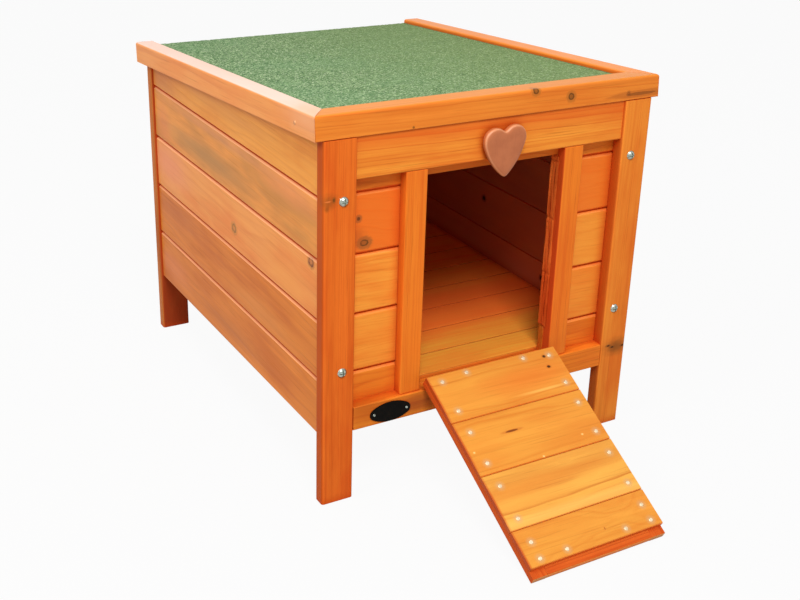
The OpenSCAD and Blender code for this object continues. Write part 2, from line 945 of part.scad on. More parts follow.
module oval_plate() {
    color(black)
        placed()
            difference() {
                translate([-plate_x, bottom_set, plate_z])
                    rotate([90, 0, 0])
                        linear_extrude(plate_t)
                            oval();
                for (x = plate_pin_xs())
                    rod_y([x, -plate_t, plate_z], nail_r + fit, 2 * plate_t + bottom_set + cut);
            }
}

module oval_plate_pins() {
    color(zinc)
        placed()
            for (x = plate_pin_xs())
                translate([x, bottom_set - plate_t, plate_z])
                    rotate([90, 0, 0])
                        nail(plate_pin_l, plate_pin_head_r);
}

// Hinges

// Half of a hinge with its pin on X 0. The outer half has the two end knuckles, the inner half the
// middle one. The leaf lies from z to z + leaf_t and reaches to leaf_d in Y.
module hinge_half(w, outer, z) {
    third = w / 3;
    mine = outer ? [-w / 2, w / 6] : [-third / 2];
    other = outer ? [-third / 2] : [-w / 2 - cut, w / 6];
    difference() {
        union() {
            for (x = mine)
                translate([x, 0, 0])
                    rotate([0, 90, 0])
                        cylinder(r = barrel_r, h = third, $fn = fine);
            translate([-w / 2, 0, z])
                cube([w, leaf_d, leaf_t]);
        }
        for (x = other)
            translate([x - move_gap / 2, 0, 0])
                rotate([0, 90, 0])
                    cylinder(r = barrel_r + move_gap, h = third + move_gap + (outer ? 0 : cut), $fn = fine);
        rotate([0, 90, 0])
            cylinder(r = hinge_pin_r + fit, h = w + 2 * cut, center = true, $fn = fine);
        for (x = hinge_screw_xs(w, outer))
            rod_z([x, hinge_screw_y, z - cut], hinge_screw_r + fit, leaf_t + 2 * cut);
    }
}

// The inner leaf has its screws nearer the middle, so that no two heads meet when the hinge is shut.
function hinge_screw_xs(w, outer) =
    [for (s = [-1, 1]) s * (w / 2 - hinge_screw_in - (outer ? 0 : hinge_screw_step))];

// Screw along -Z with its low head standing on Z 0.
module hinge_screw() {
    rod_z([0, 0, -hinge_screw_l], hinge_screw_r, hinge_screw_l);
    rod_z([0, 0, 0], hinge_head_r, hinge_head_h);
}

module at_roof_pins() {
    for (x = [-roof_hinge_x, roof_hinge_x])
        translate([x, roof_pin_y, roof_pin_z])
            children();
}

module at_roof_pins_in_roof() {
    for (x = [-roof_hinge_x, roof_hinge_x])
        translate([x, roof_pin_l, -roof_pin_drop])
            children();
}

module at_ramp_pins() {
    for (x = [-ramp_hinge_x, ramp_hinge_x])
        translate([door_shift + x, ramp_pin_y, ramp_pin_z])
            children();
}

module roof_hinge_frame_leaves() {
    color(zinc)
        placed()
            at_roof_pins()
                rotate([-90, 0, 0])
                    hinge_half(roof_hinge_w, true, fixed_leaf_z);
}

module roof_hinge_roof_leaves() {
    color(zinc)
        on_roof()
            at_roof_pins_in_roof()
                mirror([0, 1, 0])
                    hinge_half(roof_hinge_w, false, roof_leaf_z);
}

module ramp_hinge_frame_leaves() {
    color(zinc)
        placed()
            at_ramp_pins()
                hinge_half(ramp_hinge_w, true, fixed_leaf_z);
}

module ramp_hinge_ramp_leaves() {
    color(zinc)
        on_ramp()
            at_ramp_pins()
                hinge_half(ramp_hinge_w, false, ramp_leaf_z);
}

module hinge_pins() {
    color(zinc)
        placed() {
            at_roof_pins()
                rotate([0, 90, 0])
                    cylinder(r = hinge_pin_r, h = roof_hinge_w, center = true, $fn = fine);
            at_ramp_pins()
                rotate([0, 90, 0])
                    cylinder(r = hinge_pin_r, h = ramp_hinge_w, center = true, $fn = fine);
        }
}

module hinge_screw_holes_ramp_frame() {
    at_ramp_pins()
        for (x = hinge_screw_xs(ramp_hinge_w, true))
            rod_z([x, hinge_screw_y, fixed_leaf_z - hinge_screw_l], hinge_screw_r + fit, hinge_screw_l + cut);
}

module hinge_screw_holes_ramp() {
    at_ramp_pins()
        for (x = hinge_screw_xs(ramp_hinge_w, false))
            rod_z([x, hinge_screw_y, 0], hinge_screw_r + fit, hinge_screw_l + ramp_foot_gap);
}

module hinge_screw_holes_roof_frame() {
    at_roof_pins()
        rotate([-90, 0, 0])
            for (x = hinge_screw_xs(roof_hinge_w, true))
                rod_z([x, hinge_screw_y, fixed_leaf_z - hinge_screw_l], hinge_screw_r + fit,
                    hinge_screw_l + cut);
}

module hinge_screw_holes_roof() {
    at_roof_pins_in_roof()
        for (x = hinge_screw_xs(roof_hinge_w, false))
            rod_z([x, -hinge_screw_y, 0], hinge_screw_r + fit, hinge_screw_l + roof_pin_drop);
}

module hinge_frame_screws() {
    color(zinc)
        placed() {
            at_roof_pins()
                rotate([-90, 0, 0])
                    for (x = hinge_screw_xs(roof_hinge_w, true))
                        translate([x, hinge_screw_y, fixed_leaf_z + leaf_t])
                            hinge_screw();
            at_ramp_pins()
                for (x = hinge_screw_xs(ramp_hinge_w, true))
                    translate([x, hinge_screw_y, fixed_leaf_z + leaf_t])
                        hinge_screw();
        }
}

module roof_hinge_roof_screws() {
    color(zinc)
        on_roof()
            at_roof_pins_in_roof()
                for (x = hinge_screw_xs(roof_hinge_w, false))
                    translate([x, -hinge_screw_y, roof_leaf_z])
                        rotate([180, 0, 0])
                            hinge_screw();
}

module ramp_hinge_ramp_screws() {
    color(zinc)
        on_ramp()
            at_ramp_pins()
                for (x = hinge_screw_xs(ramp_hinge_w, false))
                    translate([x, hinge_screw_y, ramp_leaf_z])
                        rotate([180, 0, 0])
                            hinge_screw();
}

front_left_post();
front_right_post();
rear_left_post();
rear_right_post();
front_top_rail();
front_bottom_rail();
rear_top_rail();
rear_bottom_rail();
left_jamb();
right_jamb();
front_sill_board();
front_left_boards();
front_right_boards();
front_head_board();
left_board_1();
left_board_2();
left_board_3();
left_board_4();
left_board_5();
right_board_1();
right_board_2();
right_board_3();
right_board_4();
right_board_5();
rear_boards();
front_left_batten();
front_right_batten();
rear_left_batten();
rear_right_batten();
floor_bearers();
floor_boards();
panel_screws();
oval_plate();
oval_plate_pins();
roof_hinge_frame_leaves();
ramp_hinge_frame_leaves();
hinge_pins();
hinge_frame_screws();
roof_deck();
roof_felt();
roof_trim_front();
roof_trim_left();
roof_trim_right();
roof_rear_batten();
roof_trim_nails();
roof_hinge_roof_leaves();
roof_hinge_roof_screws();
ramp_board_1();
ramp_board_2();
ramp_board_3();
ramp_board_4();
ramp_left_stile();
ramp_right_stile();
ramp_head_rail();
ramp_foot_rail();
ramp_nails();
ramp_hinge_ramp_leaves();
ramp_hinge_ramp_screws();
heart_button();
heart_screw();
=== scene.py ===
"""A small garden hutch for one small animal, dressed over its packed frame.

Stained boards with softened edges, a roof of green mineral felt, a nailed ramp, zinc fixings,
a terracotta heart and a blank black oval plate. All places are metres in the frame's own axes.
"""

import json
import logging
import math
from dataclasses import dataclass, replace
from enum import Enum

import bpy
from mathutils import Euler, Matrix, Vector

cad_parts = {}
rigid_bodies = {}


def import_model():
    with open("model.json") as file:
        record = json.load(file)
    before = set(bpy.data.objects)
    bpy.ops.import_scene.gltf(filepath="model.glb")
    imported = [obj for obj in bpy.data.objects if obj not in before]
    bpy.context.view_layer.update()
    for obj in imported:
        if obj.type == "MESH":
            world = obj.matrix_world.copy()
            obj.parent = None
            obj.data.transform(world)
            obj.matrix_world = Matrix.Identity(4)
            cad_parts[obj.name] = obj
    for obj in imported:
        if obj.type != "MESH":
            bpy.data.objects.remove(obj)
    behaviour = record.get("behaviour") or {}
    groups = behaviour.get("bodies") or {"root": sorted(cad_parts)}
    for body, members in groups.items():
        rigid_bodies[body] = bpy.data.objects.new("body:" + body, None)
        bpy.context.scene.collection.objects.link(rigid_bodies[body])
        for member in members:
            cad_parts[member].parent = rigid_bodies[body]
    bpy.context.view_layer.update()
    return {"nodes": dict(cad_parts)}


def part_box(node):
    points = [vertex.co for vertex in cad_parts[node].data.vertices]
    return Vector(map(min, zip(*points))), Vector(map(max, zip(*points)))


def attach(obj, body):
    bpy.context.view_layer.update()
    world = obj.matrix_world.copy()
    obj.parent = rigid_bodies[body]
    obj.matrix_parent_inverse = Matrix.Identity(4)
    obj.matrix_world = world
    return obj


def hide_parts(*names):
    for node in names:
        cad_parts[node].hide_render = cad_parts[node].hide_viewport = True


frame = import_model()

Colour = tuple[float, float, float]
Shade = tuple[float, float, float, float]
Place = tuple[float, float, float]
Pair = tuple[float, float]
Socket = bpy.types.NodeSocket

LOG = logging.getLogger("hutch")
ROOF_SLOPE = 4.0  # degrees
RAMP_ANGLE = 118.57  # degrees, from down to shut
JOINT = 0.1435  # the height of the lowest joint between the front's boards
COURSE = 0.0665  # the height of one board
MERGE = 0.000002  # how near two points lie to be one
FLAT, SHARP = math.radians(0.4), math.radians(40)  # where faces merge, and where edges round

LEFT, RIGHT, UP = (-1.0, 0.0, 0.0), (1.0, 0.0, 0.0), (0.0, 0.0, 1.0)
FRONT, BACK, ROOF_UP = (0.0, -1.0, 0.0), (0.0, 1.0, 0.0), (0.0, 0.07, 1.0)
RAMP_DOWN = (0.0, -0.88, -0.48)  # along the ramp, toward its foot

# Waves to a metre of the wood's patterns, from the slowest drift to the finest hairs.
DRIFT, CLOUD, RIPPLE, STREAK, FINE, HAIR = 17.0, 21.0, 90.0, 95.0, 620.0, 2300.0
PORE_DEPTH = 0.00022  # how deep the pores and rings lie
NEAR = 0.016  # how near another surface is where the corner and groove shading is painted


class Grain(Enum):
    """Which way a board's fibres run, as the turn that carries Z onto them, in degrees."""

    UPRIGHT = (0.0, 0.0, 0.0)
    ACROSS = (0.0, 90.0, 0.0)
    DEEP = (-90.0, 0.0, 0.0)
    ROOF = (-90.0 - ROOF_SLOPE, 0.0, 0.0)
    RAMP = (RAMP_ANGLE, 0.0, 0.0)


def linear(colour: Colour) -> Shade:
    """Turn a colour written as on a screen, 0 to 255, into the shader's own linear numbers."""
    parts = (c / 255 for c in colour)
    return (*(c / 12.92 if c <= 0.04045 else ((c + 0.055) / 1.055) ** 2.4 for c in parts), 1.0)


class Graph:
    """One node tree, of a material or of the world, built socket by socket."""

    def __init__(self, owner: bpy.types.Material | bpy.types.World,
                 colour: Colour = (0.0, 0.0, 0.0)) -> None:
        """Start an empty tree.

        Args:
            owner: The material or the world that holds it.
            colour: The colour that tints are laid over.
        """
        owner.use_nodes = True
        self.owner = owner
        self.tree = owner.node_tree
        self.tree.nodes.clear()
        self.colour: object = linear(colour)

    @classmethod
    def new(cls, name: str, colour: Colour = (0.0, 0.0, 0.0)) -> "Graph":
        """Start the tree of a new material."""
        return cls(bpy.data.materials.new(name), colour)

    def add(self, kind: str, inputs: dict | None = None, **settings: object) -> bpy.types.Node:
        """Add a node.

        Args:
            kind: The node's kind, without its first words.
            inputs: Values or sockets for its inputs, by name or number.
            **settings: The node's own settings.

        Returns:
            The node.
        """
        node = self.tree.nodes.new("ShaderNode" + kind)
        for key, value in settings.items():
            setattr(node, key, value)
        for key, value in (inputs or {}).items():
            if isinstance(value, Socket):
                self.tree.links.new(value, node.inputs[key])
            else:
                node.inputs[key].default_value = value
        return node

    def math(self, operation: str, first: object, second: object = 0.0) -> Socket:
        """Work out a sum of two numbers or sockets and return its socket."""
        return self.add("Math", {0: first, 1: second}, operation=operation).outputs[0]

    def total(self, value: object, times: float, plus: object = 0.0) -> Socket:
        """Return value * times + plus."""
        return self.add("Math", {0: value, 1: times, 2: plus}, operation="MULTIPLY_ADD").outputs[0]

    def tint(self, tint: Colour, share: object, strength: float = 1.0) -> None:
        """Lay a tint, written as on a screen, over the colour so far."""
        ends = {0: self.math("MULTIPLY", share, strength), 6: self.colour, 7: linear(tint)}
        self.colour = self.add("Mix", ends, data_type="RGBA", clamp_factor=True).outputs[2]

    def dot(self, first: object, second: object) -> Socket:
        """Return the dot product of two vectors."""
        node = self.add("VectorMath", {0: first, 1: second}, operation="DOT_PRODUCT")
        return node.outputs["Value"]

    def length(self, vector: object) -> Socket:
        """Return a vector's length."""
        return self.add("VectorMath", {0: vector}, operation="LENGTH").outputs["Value"]

    def shifted(self, vector: object, other: object) -> Socket:
        """Return the sum of two vectors."""
        return self.add("VectorMath", {0: vector, 1: other}, operation="ADD").outputs[0]

    def axis(self, vector: object, number: int) -> Socket:
        """Return one of a vector's three numbers."""
        return self.add("SeparateXYZ", {0: vector}).outputs[number]

    def step(self, value: object, low: float, high: float) -> Socket:
        """Rise smoothly from 0 at low to 1 at high, or fall where high is the lower."""
        ends = {0: value, 1: low, 2: high}
        return self.add("MapRange", ends, interpolation_type="SMOOTHSTEP").outputs[0]

    def ramp(self, value: object, stops: list[tuple[float, Shade]],
             way: str = "LINEAR") -> Socket:
        """Follow a line through stops.

        Args:
            value: Where on the line to read, 0 to 1.
            stops: Each stop's place and its linear colour.
            way: How the line runs between stops.

        Returns:
            The colour's socket.
        """
        node = self.add("ValToRGB", {0: value})
        node.color_ramp.interpolation = way
        marks = node.color_ramp.elements
        while len(marks) < len(stops):
            marks.new(0.5)
        for mark, (place, colour) in zip(marks, stops):
            mark.position = place
            mark.color = colour
        return node.outputs[0]

    def curve(self, value: object, stops: list[Pair],
              way: str = "LINEAR") -> Socket:
        """Follow a line through stops of (place, height), all from 0 to 1."""
        return self.ramp(value, [(place, (high, high, high, 1.0)) for place, high in stops], way)

    def noise(self, where: object, scale: float, detail: float = 2.0, rough: float = 0.5) -> Socket:
        """Return smooth noise about 0.5, by its waves to a metre and how fine and rough it is."""
        waves = {"Vector": where, "Scale": scale, "Detail": detail, "Roughness": rough}
        return self.add("TexNoise", waves).outputs[0]

    def mapped(self, where: object, place: Place, turn: Place, size: Place) -> Socket:
        """Measure a vector in a frame with that origin, turn in degrees and unit lengths."""
        ends = {0: where, 1: place, 2: [math.radians(a) for a in turn], 3: size}
        return self.add("Mapping", ends, vector_type="TEXTURE").outputs[0]

    def stretched(self, where: object, size: Place) -> Socket:
        """Multiply a vector by a size along each axis."""
        node = self.add("VectorMath", {0: where, 1: size}, operation="MULTIPLY")
        return node.outputs[0]

    def bump(self, height: object, depth: float, strength: float) -> Socket:
        """Return the normal of a height from 0 to 1 that stands for a depth in metres."""
        inputs = {"Strength": strength, "Distance": depth, "Height": height}
        return self.add("Bump", inputs).outputs[0]

    def seen(self) -> Socket:
        """Find out where the camera sees a surface, straight, mirrored or through glass.

        Returns:
            1 where it does, otherwise 0.
        """
        rays = self.add("LightPath").outputs
        seen = self.math("MAXIMUM", rays["Is Camera Ray"], rays["Is Glossy Ray"])
        return self.math("MAXIMUM", seen, rays["Is Transmission Ray"])

    def close(self, shader: bpy.types.Node, output: str = "OutputMaterial") -> object:
        """Join the shader to the output and return the material or the world."""
        self.tree.links.new(shader.outputs[0], self.add(output).inputs[0])
        return self.owner

    def surface(self, inputs: dict) -> bpy.types.Material:
        """Close the tree with a surface of the colour so far and these inputs."""
        return self.close(self.add("BsdfPrincipled", {"Base Color": self.colour, **inputs}))


@dataclass(frozen=True)
class Mark:
    """A knot or a stain in a board: where it is, its half sizes across, deep and along."""

    place: Place
    half: Place
    core: Colour = (84, 44, 18)
    halo: Colour = (150, 92, 40)
    strength: float = 0.9
    halo_share: float = 0.6
    spread: float = 2.2
    eye: float = 0.0
    pull: float = 0.0045
    stir: float = 0.7

    @classmethod
    def soft(cls, place: Place, half: Place, colour: Colour, share: float, spread: float = 1.8,
             stir: float = 0.7) -> "Mark":
        """Return a soft stain that has no core and doesn't bend the rings."""
        return cls(place, half, halo=colour, strength=0.0, halo_share=share, spread=spread,
                   pull=0.0, stir=stir)


@dataclass(frozen=True)
class Tone:
    """A stain as it took on one board: between its rings, on them, and where it lies thick."""

    pale: Colour
    dark: Colour
    flush: Colour


AMBER = Tone((246, 152, 54), (218, 98, 26), (226, 104, 30))
WARM = Tone((243, 143, 52), (214, 90, 26), (222, 96, 30))
ORANGE = Tone((242, 138, 42), (210, 86, 22), (226, 102, 28))
FLAME = Tone((243, 131, 38), (211, 80, 20), (226, 96, 26))
HONEY = Tone((247, 168, 68), (222, 120, 34), (238, 138, 48))
PEACH = Tone((246, 158, 78), (216, 114, 44), (238, 134, 62))
BROWN = Tone((226, 128, 32), (186, 84, 14), (206, 106, 28))
OCHRE = Tone((248, 164, 66), (214, 118, 38), (234, 140, 52))
DRAB = Tone((244, 156, 68), (208, 116, 42), (198, 130, 62))
# painted shade: a darker tone for the rear posts and the inside battens
SHADE = Tone((208, 122, 56), (160, 76, 30), (176, 86, 34))
GOLD = Tone((228, 153, 60), (204, 110, 32), (216, 120, 42))
INFILL = Tone((255, 172, 66), (234, 120, 34), (242, 110, 32))
LOW = Tone((250, 142, 40), (212, 96, 26), (230, 108, 32))
POST = Tone((236, 116, 38), (192, 65, 18), (214, 78, 24))
PLANK = Tone((255, 177, 64), (255, 128, 36), (255, 106, 42))
GRAINED = Tone((238, 174, 76), (194, 108, 38), (228, 152, 62))
FOOT = Tone((214, 96, 34), (166, 52, 16), (190, 66, 22))
LEDGE = Tone((234, 136, 48), (204, 94, 26), (222, 108, 32))
TORN = Tone((242, 122, 50), (146, 34, 8), (208, 74, 24))
# painted shade: the tint of the boards' inside faces, which lie in the cabin's shade
INSIDE_SHADE = (212, 118, 80)


@dataclass(frozen=True)
class Wood:
    """Stained softwood: its tone, how its rings lie, its marks and its gloss."""

    tone: Tone = ORANGE
    grain: Grain = Grain.ACROSS
    pith: Place = (0.01, 0.06, 0.0)
    lean: Pair = (1.2, 0.6)
    ring: float = 0.0036
    contrast: float = 0.5
    wave: float = 0.006
    flush: float = 0.5
    fibre: float = 0.5
    gloss: float = 0.46
    shine: float = 0.1
    seed: float = 0.0
    apart: bool = False
    # painted light and shade on the faces that look one way: the way, the tint and its share
    face: tuple[Place, Colour, float] | None = None
    shown: Place | None = None
    # under: painted shade on the rounded edges that face down from the shown face; over: painted
    # light on those that face up, darker on the floor, where it paints their highlight out
    under: Colour = (240, 96, 30)
    over: Colour = (250, 160, 84)
    # painted shading in the narrow grooves that ambient occlusion finds
    deep: Colour = (206, 74, 20)
    swirl: float = 0.22
    courses: tuple[float, ...] = ()
    steps: tuple[int, float, float] = (2, JOINT, COURSE)
    fading: bool = False
    end: Colour = (150, 62, 22)
    end_share: float = 0.5
    # painted shading in the corners near other surfaces, and its share
    painted_corner_shading: Colour = (196, 66, 14)
    pool: float = 0.6
    marks: tuple[Mark, ...] = ()


class Timber:
    """The material of one piece of wood, laid on layer by layer."""

    def __init__(self, wood: Wood, name: str, middle: Vector) -> None:
        """Measure the piece from its pith and lay its noises.

        Args:
            wood: What it is made of.
            name: The piece's name.
            middle: The middle of the piece, near which the rings are laid.
        """
        self.wood = wood
        self.graph = g = Graph.new(name + "_wood", wood.tone.pale)
        spot = g.add("TexCoord")
        self.where, self.normal = spot.outputs["Object"], spot.outputs["Normal"]
        turn = tuple(a + b for a, b in zip(wood.grain.value, (*wood.lean, 0.0)))
        place = tuple(middle[i] + wood.pith[i] for i in range(3))
        self.along = g.mapped(self.where, place, turn, (1.0, 1.0, 1.0))
        if wood.apart:
            island = g.add("NewGeometry").outputs["Random Per Island"]
            jump = g.add("CombineXYZ", {0: g.total(island, 0.05, -0.025),
                                        1: g.total(island, 0.03, -0.01),
                                        2: g.total(island, 2.3, 0.0)})
            self.along = g.shifted(self.along, jump.outputs[0])
        self.at = g.shifted(self.along, [wood.seed * times for times in (1.0, 1.7, 3.1)])
        self.fine = self.waves(FINE, 0.018, 3.0, 0.6)
        self.cloud = self.waves(CLOUD, 0.3, 3.0, 0.6)
        self.knots = [self.knot(mark) for mark in wood.marks]
        self.rings()

    def waves(self, scale: float, reach: float, detail: float, rough: float = 0.5) -> Socket:
        """Return noise that is drawn out along the fibres, where its waves are fewer by reach."""
        g = self.graph
        return g.noise(g.stretched(self.at, (1.0, 1.0, reach)), scale, detail, rough)

    def knot(self, mark: Mark) -> tuple[Socket, Socket]:
        """Lay a mark.

        Args:
            mark: The mark.

        Returns:
            How much of it is core, and how strongly it pulls the rings.
        """
        g = self.graph
        local = g.mapped(self.where, mark.place, self.wood.grain.value, mark.half)
        stir = g.add("TexNoise", {"Vector": local, "Scale": 1.6}).outputs["Color"]
        local = g.add("VectorMath", {0: stir, 1: (mark.stir,) * 3, 2: local},
                      operation="MULTIPLY_ADD").outputs[0]
        far = g.length(g.shifted(local, (-mark.stir / 2,) * 3))
        core = g.step(far, 1.0, 0.75)
        if mark.eye > 0:
            core = g.math("MULTIPLY", core, g.total(g.step(far, 0.7, 0.35), -mark.eye, 1.0))
        return core, g.step(far, mark.spread, 0.8 if mark.pull > 0 else 0.1)

    def rings(self) -> None:
        """Lay the year rings, by how dark they are, 0 to 1."""
        g, wood = self.graph, self.wood
        radius = g.length(g.stretched(self.along, (1.0, 1.0, 0.0)))
        radius = g.total(self.waves(DRIFT, wood.swirl, 2.0), wood.wave * 2.4, radius)
        radius = g.total(self.waves(RIPPLE, 0.12, 2.0), wood.ring * 0.7, radius)
        for (_, pull), mark in zip(self.knots, wood.marks):
            if mark.pull > 0:
                radius = g.total(pull, mark.pull, radius)
        turns = g.math("DIVIDE", radius, wood.ring)
        uneven = g.add("TexNoise", {"W": turns, "Scale": 0.31, "Detail": 1.0},
                       noise_dimensions="1D")
        turns = g.total(uneven.outputs[0], 3.0, turns)
        band = g.curve(g.math("FRACT", turns),
                       [(0.0, 0.35), (0.12, 0.0), (0.55, 0.22), (0.86, 1.0), (1.0, 0.4)])
        each = g.add("TexWhiteNoise", {"W": g.math("FLOOR", turns)}, noise_dimensions="1D")
        self.band = g.math("MULTIPLY", band, g.total(each.outputs[0], 0.75, 0.25))

    def stain(self) -> None:
        """Lay the stain, its streaks and its pores."""
        g, wood, tone = self.graph, self.wood, self.wood.tone
        streak = self.waves(STREAK, 0.03, 3.0, 0.6)
        pale = tuple(min(255.0, c * 1.06 + 6) for c in tone.pale)
        pore = tuple(c * 0.72 for c in tone.dark)
        g.tint(tone.dark, self.band, wood.contrast)
        g.tint(tone.flush, g.step(self.cloud, 0.4, 0.68), wood.flush)
        g.tint(tone.dark, g.step(streak, 0.5, 0.74), wood.fibre * 0.7)
        g.tint(pale, g.step(streak, 0.46, 0.3), wood.fibre * 0.6)
        g.tint(pore, g.step(self.fine, 0.56, 0.72), wood.fibre * 0.5)
        g.tint(tone.dark, g.step(self.waves(HAIR, 0.03, 1.0), 0.5, 0.7), wood.fibre * 0.22)

    def courses(self) -> None:
        """Give each course of boards its own share of the flush."""
        g, shares = self.graph, self.wood.courses
        way, start_at, size = self.wood.steps
        reach = size * len(shares)
        level = g.total(g.axis(self.where, way), 1 / reach, -start_at / reach)
        stops = [(number / len(shares), share) for number, share in enumerate(shares)]
        way_between = "EASE" if self.wood.fading else "CONSTANT"
        g.tint(self.wood.tone.flush, g.curve(level, stops, way_between))

    def faces(self) -> None:
        """Tint the faces that look one way."""
        g, (way, tint, share) = self.graph, self.wood.face
        # painted light and shade, varied a little by the cloud
        turned = g.step(g.dot(self.normal, way), 0.5, 0.9)
        g.tint(tint, g.math("MULTIPLY", turned, g.total(self.cloud, 0.5, share - 0.25)))

    def marks(self) -> None:
        """Colour the knots and the stains."""
        g = self.graph
        for (core, pull), mark in zip(self.knots, self.wood.marks):
            halo = g.step(pull, 0.0, 0.75) if mark.pull > 0 else pull
            g.tint(mark.halo, halo, mark.halo_share)
            if mark.strength > 0:
                g.tint(mark.core, core, mark.strength)

    def edges(self) -> None:
        """Tint the rounded edges above and below the shown face."""
        g, wood = self.graph, self.wood
        out, lift = g.dot(self.normal, wood.shown), g.axis(self.normal, 2)
        slant = g.math("MULTIPLY", g.step(out, 0.96, 0.85), g.step(out, 0.3, 0.5))
        # painted shade on the rounded edges that face down
        g.tint(wood.under, g.math("MULTIPLY", slant, g.step(lift, -0.2, -0.5)), 0.85)
        # painted light on the rounded edges that face up; on the floor a darker tint that paints
        # the highlight out
        g.tint(wood.over, g.math("MULTIPLY", slant, g.step(lift, 0.2, 0.5)), 0.5)

    def corners(self) -> None:
        """Tint the corners where stain pools, and the grooves between boards."""
        g, wood = self.graph, self.wood
        near = g.add("AmbientOcclusion", {"Distance": NEAR}, samples=8).outputs["AO"]
        # painted shading in the corners: darker than the wood on most pieces, lighter on the ramp's
        # rails
        g.tint(wood.painted_corner_shading, g.step(g.total(self.cloud, 0.3, near), 1.06, 0.6), wood.pool)
        # painted shading in the narrow grooves: lighter than the wood on the ramp's boards, darker
        # elsewhere
        g.tint(wood.deep, g.step(near, 0.45, 0.12), 0.8)

    def finished(self) -> bpy.types.Material:
        """Lay every layer.

        Returns:
            The material.
        """
        g, wood = self.graph, self.wood
        self.stain()
        if wood.courses:
            self.courses()
        if wood.face is not None:
            self.faces()
        self.marks()
        way = Euler([math.radians(a) for a in wood.grain.value]).to_matrix() @ Vector(UP)
        end = g.step(g.math("ABSOLUTE", g.dot(self.normal, way)), 0.72, 0.92)
        g.tint(wood.end, end, wood.end_share)
        if wood.shown is not None:
            self.edges()
        self.corners()
        rough = g.total(g.math("ADD", self.fine, self.cloud), 0.16, wood.gloss - 0.16)
        height = g.total(self.fine, 0.5, g.math("MULTIPLY", self.band, 0.6))
        return g.surface({"Roughness": rough, "Specular IOR Level": wood.shine,
                          "Normal": g.bump(height, PORE_DEPTH, 0.7)})


@dataclass(frozen=True)
class Felt:
    """Green mineral felt: grains of several greens on a dark bitumen ground."""

    name: str = "mineral_felt"
    grain: float = 0.0015
    greens: tuple[tuple[float, Colour], ...] = (
        (0.0, (56, 92, 52)), (0.3, (96, 132, 82)), (0.55, (132, 164, 110)),
        (0.82, (164, 190, 140)), (1.0, (212, 222, 186)))
    # rim: painted shadow along the felt's right edge, under the right trim's inner side
    rim: Colour = (74, 58, 30)

    def made(self) -> bpy.types.Material:
        """Build the felt.

        Returns:
            Its material.
        """
        g = Graph.new(self.name)
        where = g.add("TexCoord").outputs["Object"]
        cells = g.add("TexVoronoi", {"Vector": where, "Scale": 1 / self.grain, "Randomness": 1.0})
        pick = g.add("SeparateColor", {0: cells.outputs["Color"]})
        g.colour = g.ramp(pick.outputs[0], [(place, linear(tint)) for place, tint in self.greens])
        gap = g.step(cells.outputs["Distance"], 0.45, 0.75)
        g.tint((60, 90, 56), gap, 0.5)
        cloud = g.noise(where, 9.0, 3.0, 0.6)
        g.tint((112, 154, 108), g.step(cloud, 0.42, 0.62), 0.22)
        # painted reflection: a yellower tint rises from left to right and leaves the felt bluer
        # toward the left, where it reflects pale light
        across = g.axis(where, 0)
        g.tint((124, 142, 78), g.step(across, -0.19, 0.19), 0.5)
        speck = g.noise(where, 260.0, 2.0, 0.6)
        g.tint((72, 106, 64), g.step(speck, 0.5, 0.62), 0.42)
        # painted shadow along the right edge, where the right trim shades the felt
        g.tint(self.rim, g.step(across, 0.1832, 0.1864), 0.75)
        height = g.math("SUBTRACT", 1.0, cells.outputs["Distance"])
        return g.surface({"Roughness": 0.88, "Specular IOR Level": 0.25,
                          "Normal": g.bump(height, 0.0006, 0.8)})


@dataclass(frozen=True)
class Zinc:
    """Bright zinc plate with fine spangle and a little dull bloom."""

    name: str = "zinc_fixings"
    colour: Colour = (182, 190, 178)
    bloom: Colour = (130, 136, 126)
    rough: float = 0.2

    def made(self) -> bpy.types.Material:
        """Build the zinc.

        Returns:
            Its material.
        """
        g = Graph.new(self.name, self.colour)
        where = g.add("TexCoord").outputs["Object"]
        cloud = g.noise(where, 420.0, 3.0, 0.6)
        scratch = g.noise(g.stretched(where, (1.0, 1.0, 0.15)), 2600.0, 1.0)
        g.tint(self.bloom, g.step(cloud, 0.35, 0.75))
        rough = g.total(cloud, 0.28, self.rough - 0.1)
        return g.surface({"Metallic": 1.0, "Roughness": rough,
                          "Normal": g.bump(scratch, 0.00002, 0.4)})


@dataclass(frozen=True)
class Lacquer:
    """Black lacquer on a thin plate, worn a little brown toward its rim."""

    name: str = "black_plate"
    colour: Colour = (7, 6, 4)
    worn: Colour = (18, 14, 9)

    def made(self) -> bpy.types.Material:
        """Build the lacquer.

        Returns:
            Its material.
        """
        g = Graph.new(self.name, self.colour)
        where = g.add("TexCoord").outputs["Object"]
        cloud = g.noise(where, 160.0, 3.0, 0.6)
        g.tint(self.worn, g.step(cloud, 0.4, 0.75))
        peel = g.noise(where, 1400.0, 2.0)
        return g.surface({"Roughness": g.total(cloud, 0.2, 0.3), "Specular IOR Level": 0.06,
                          "Normal": g.bump(peel, 0.00004, 0.5)})


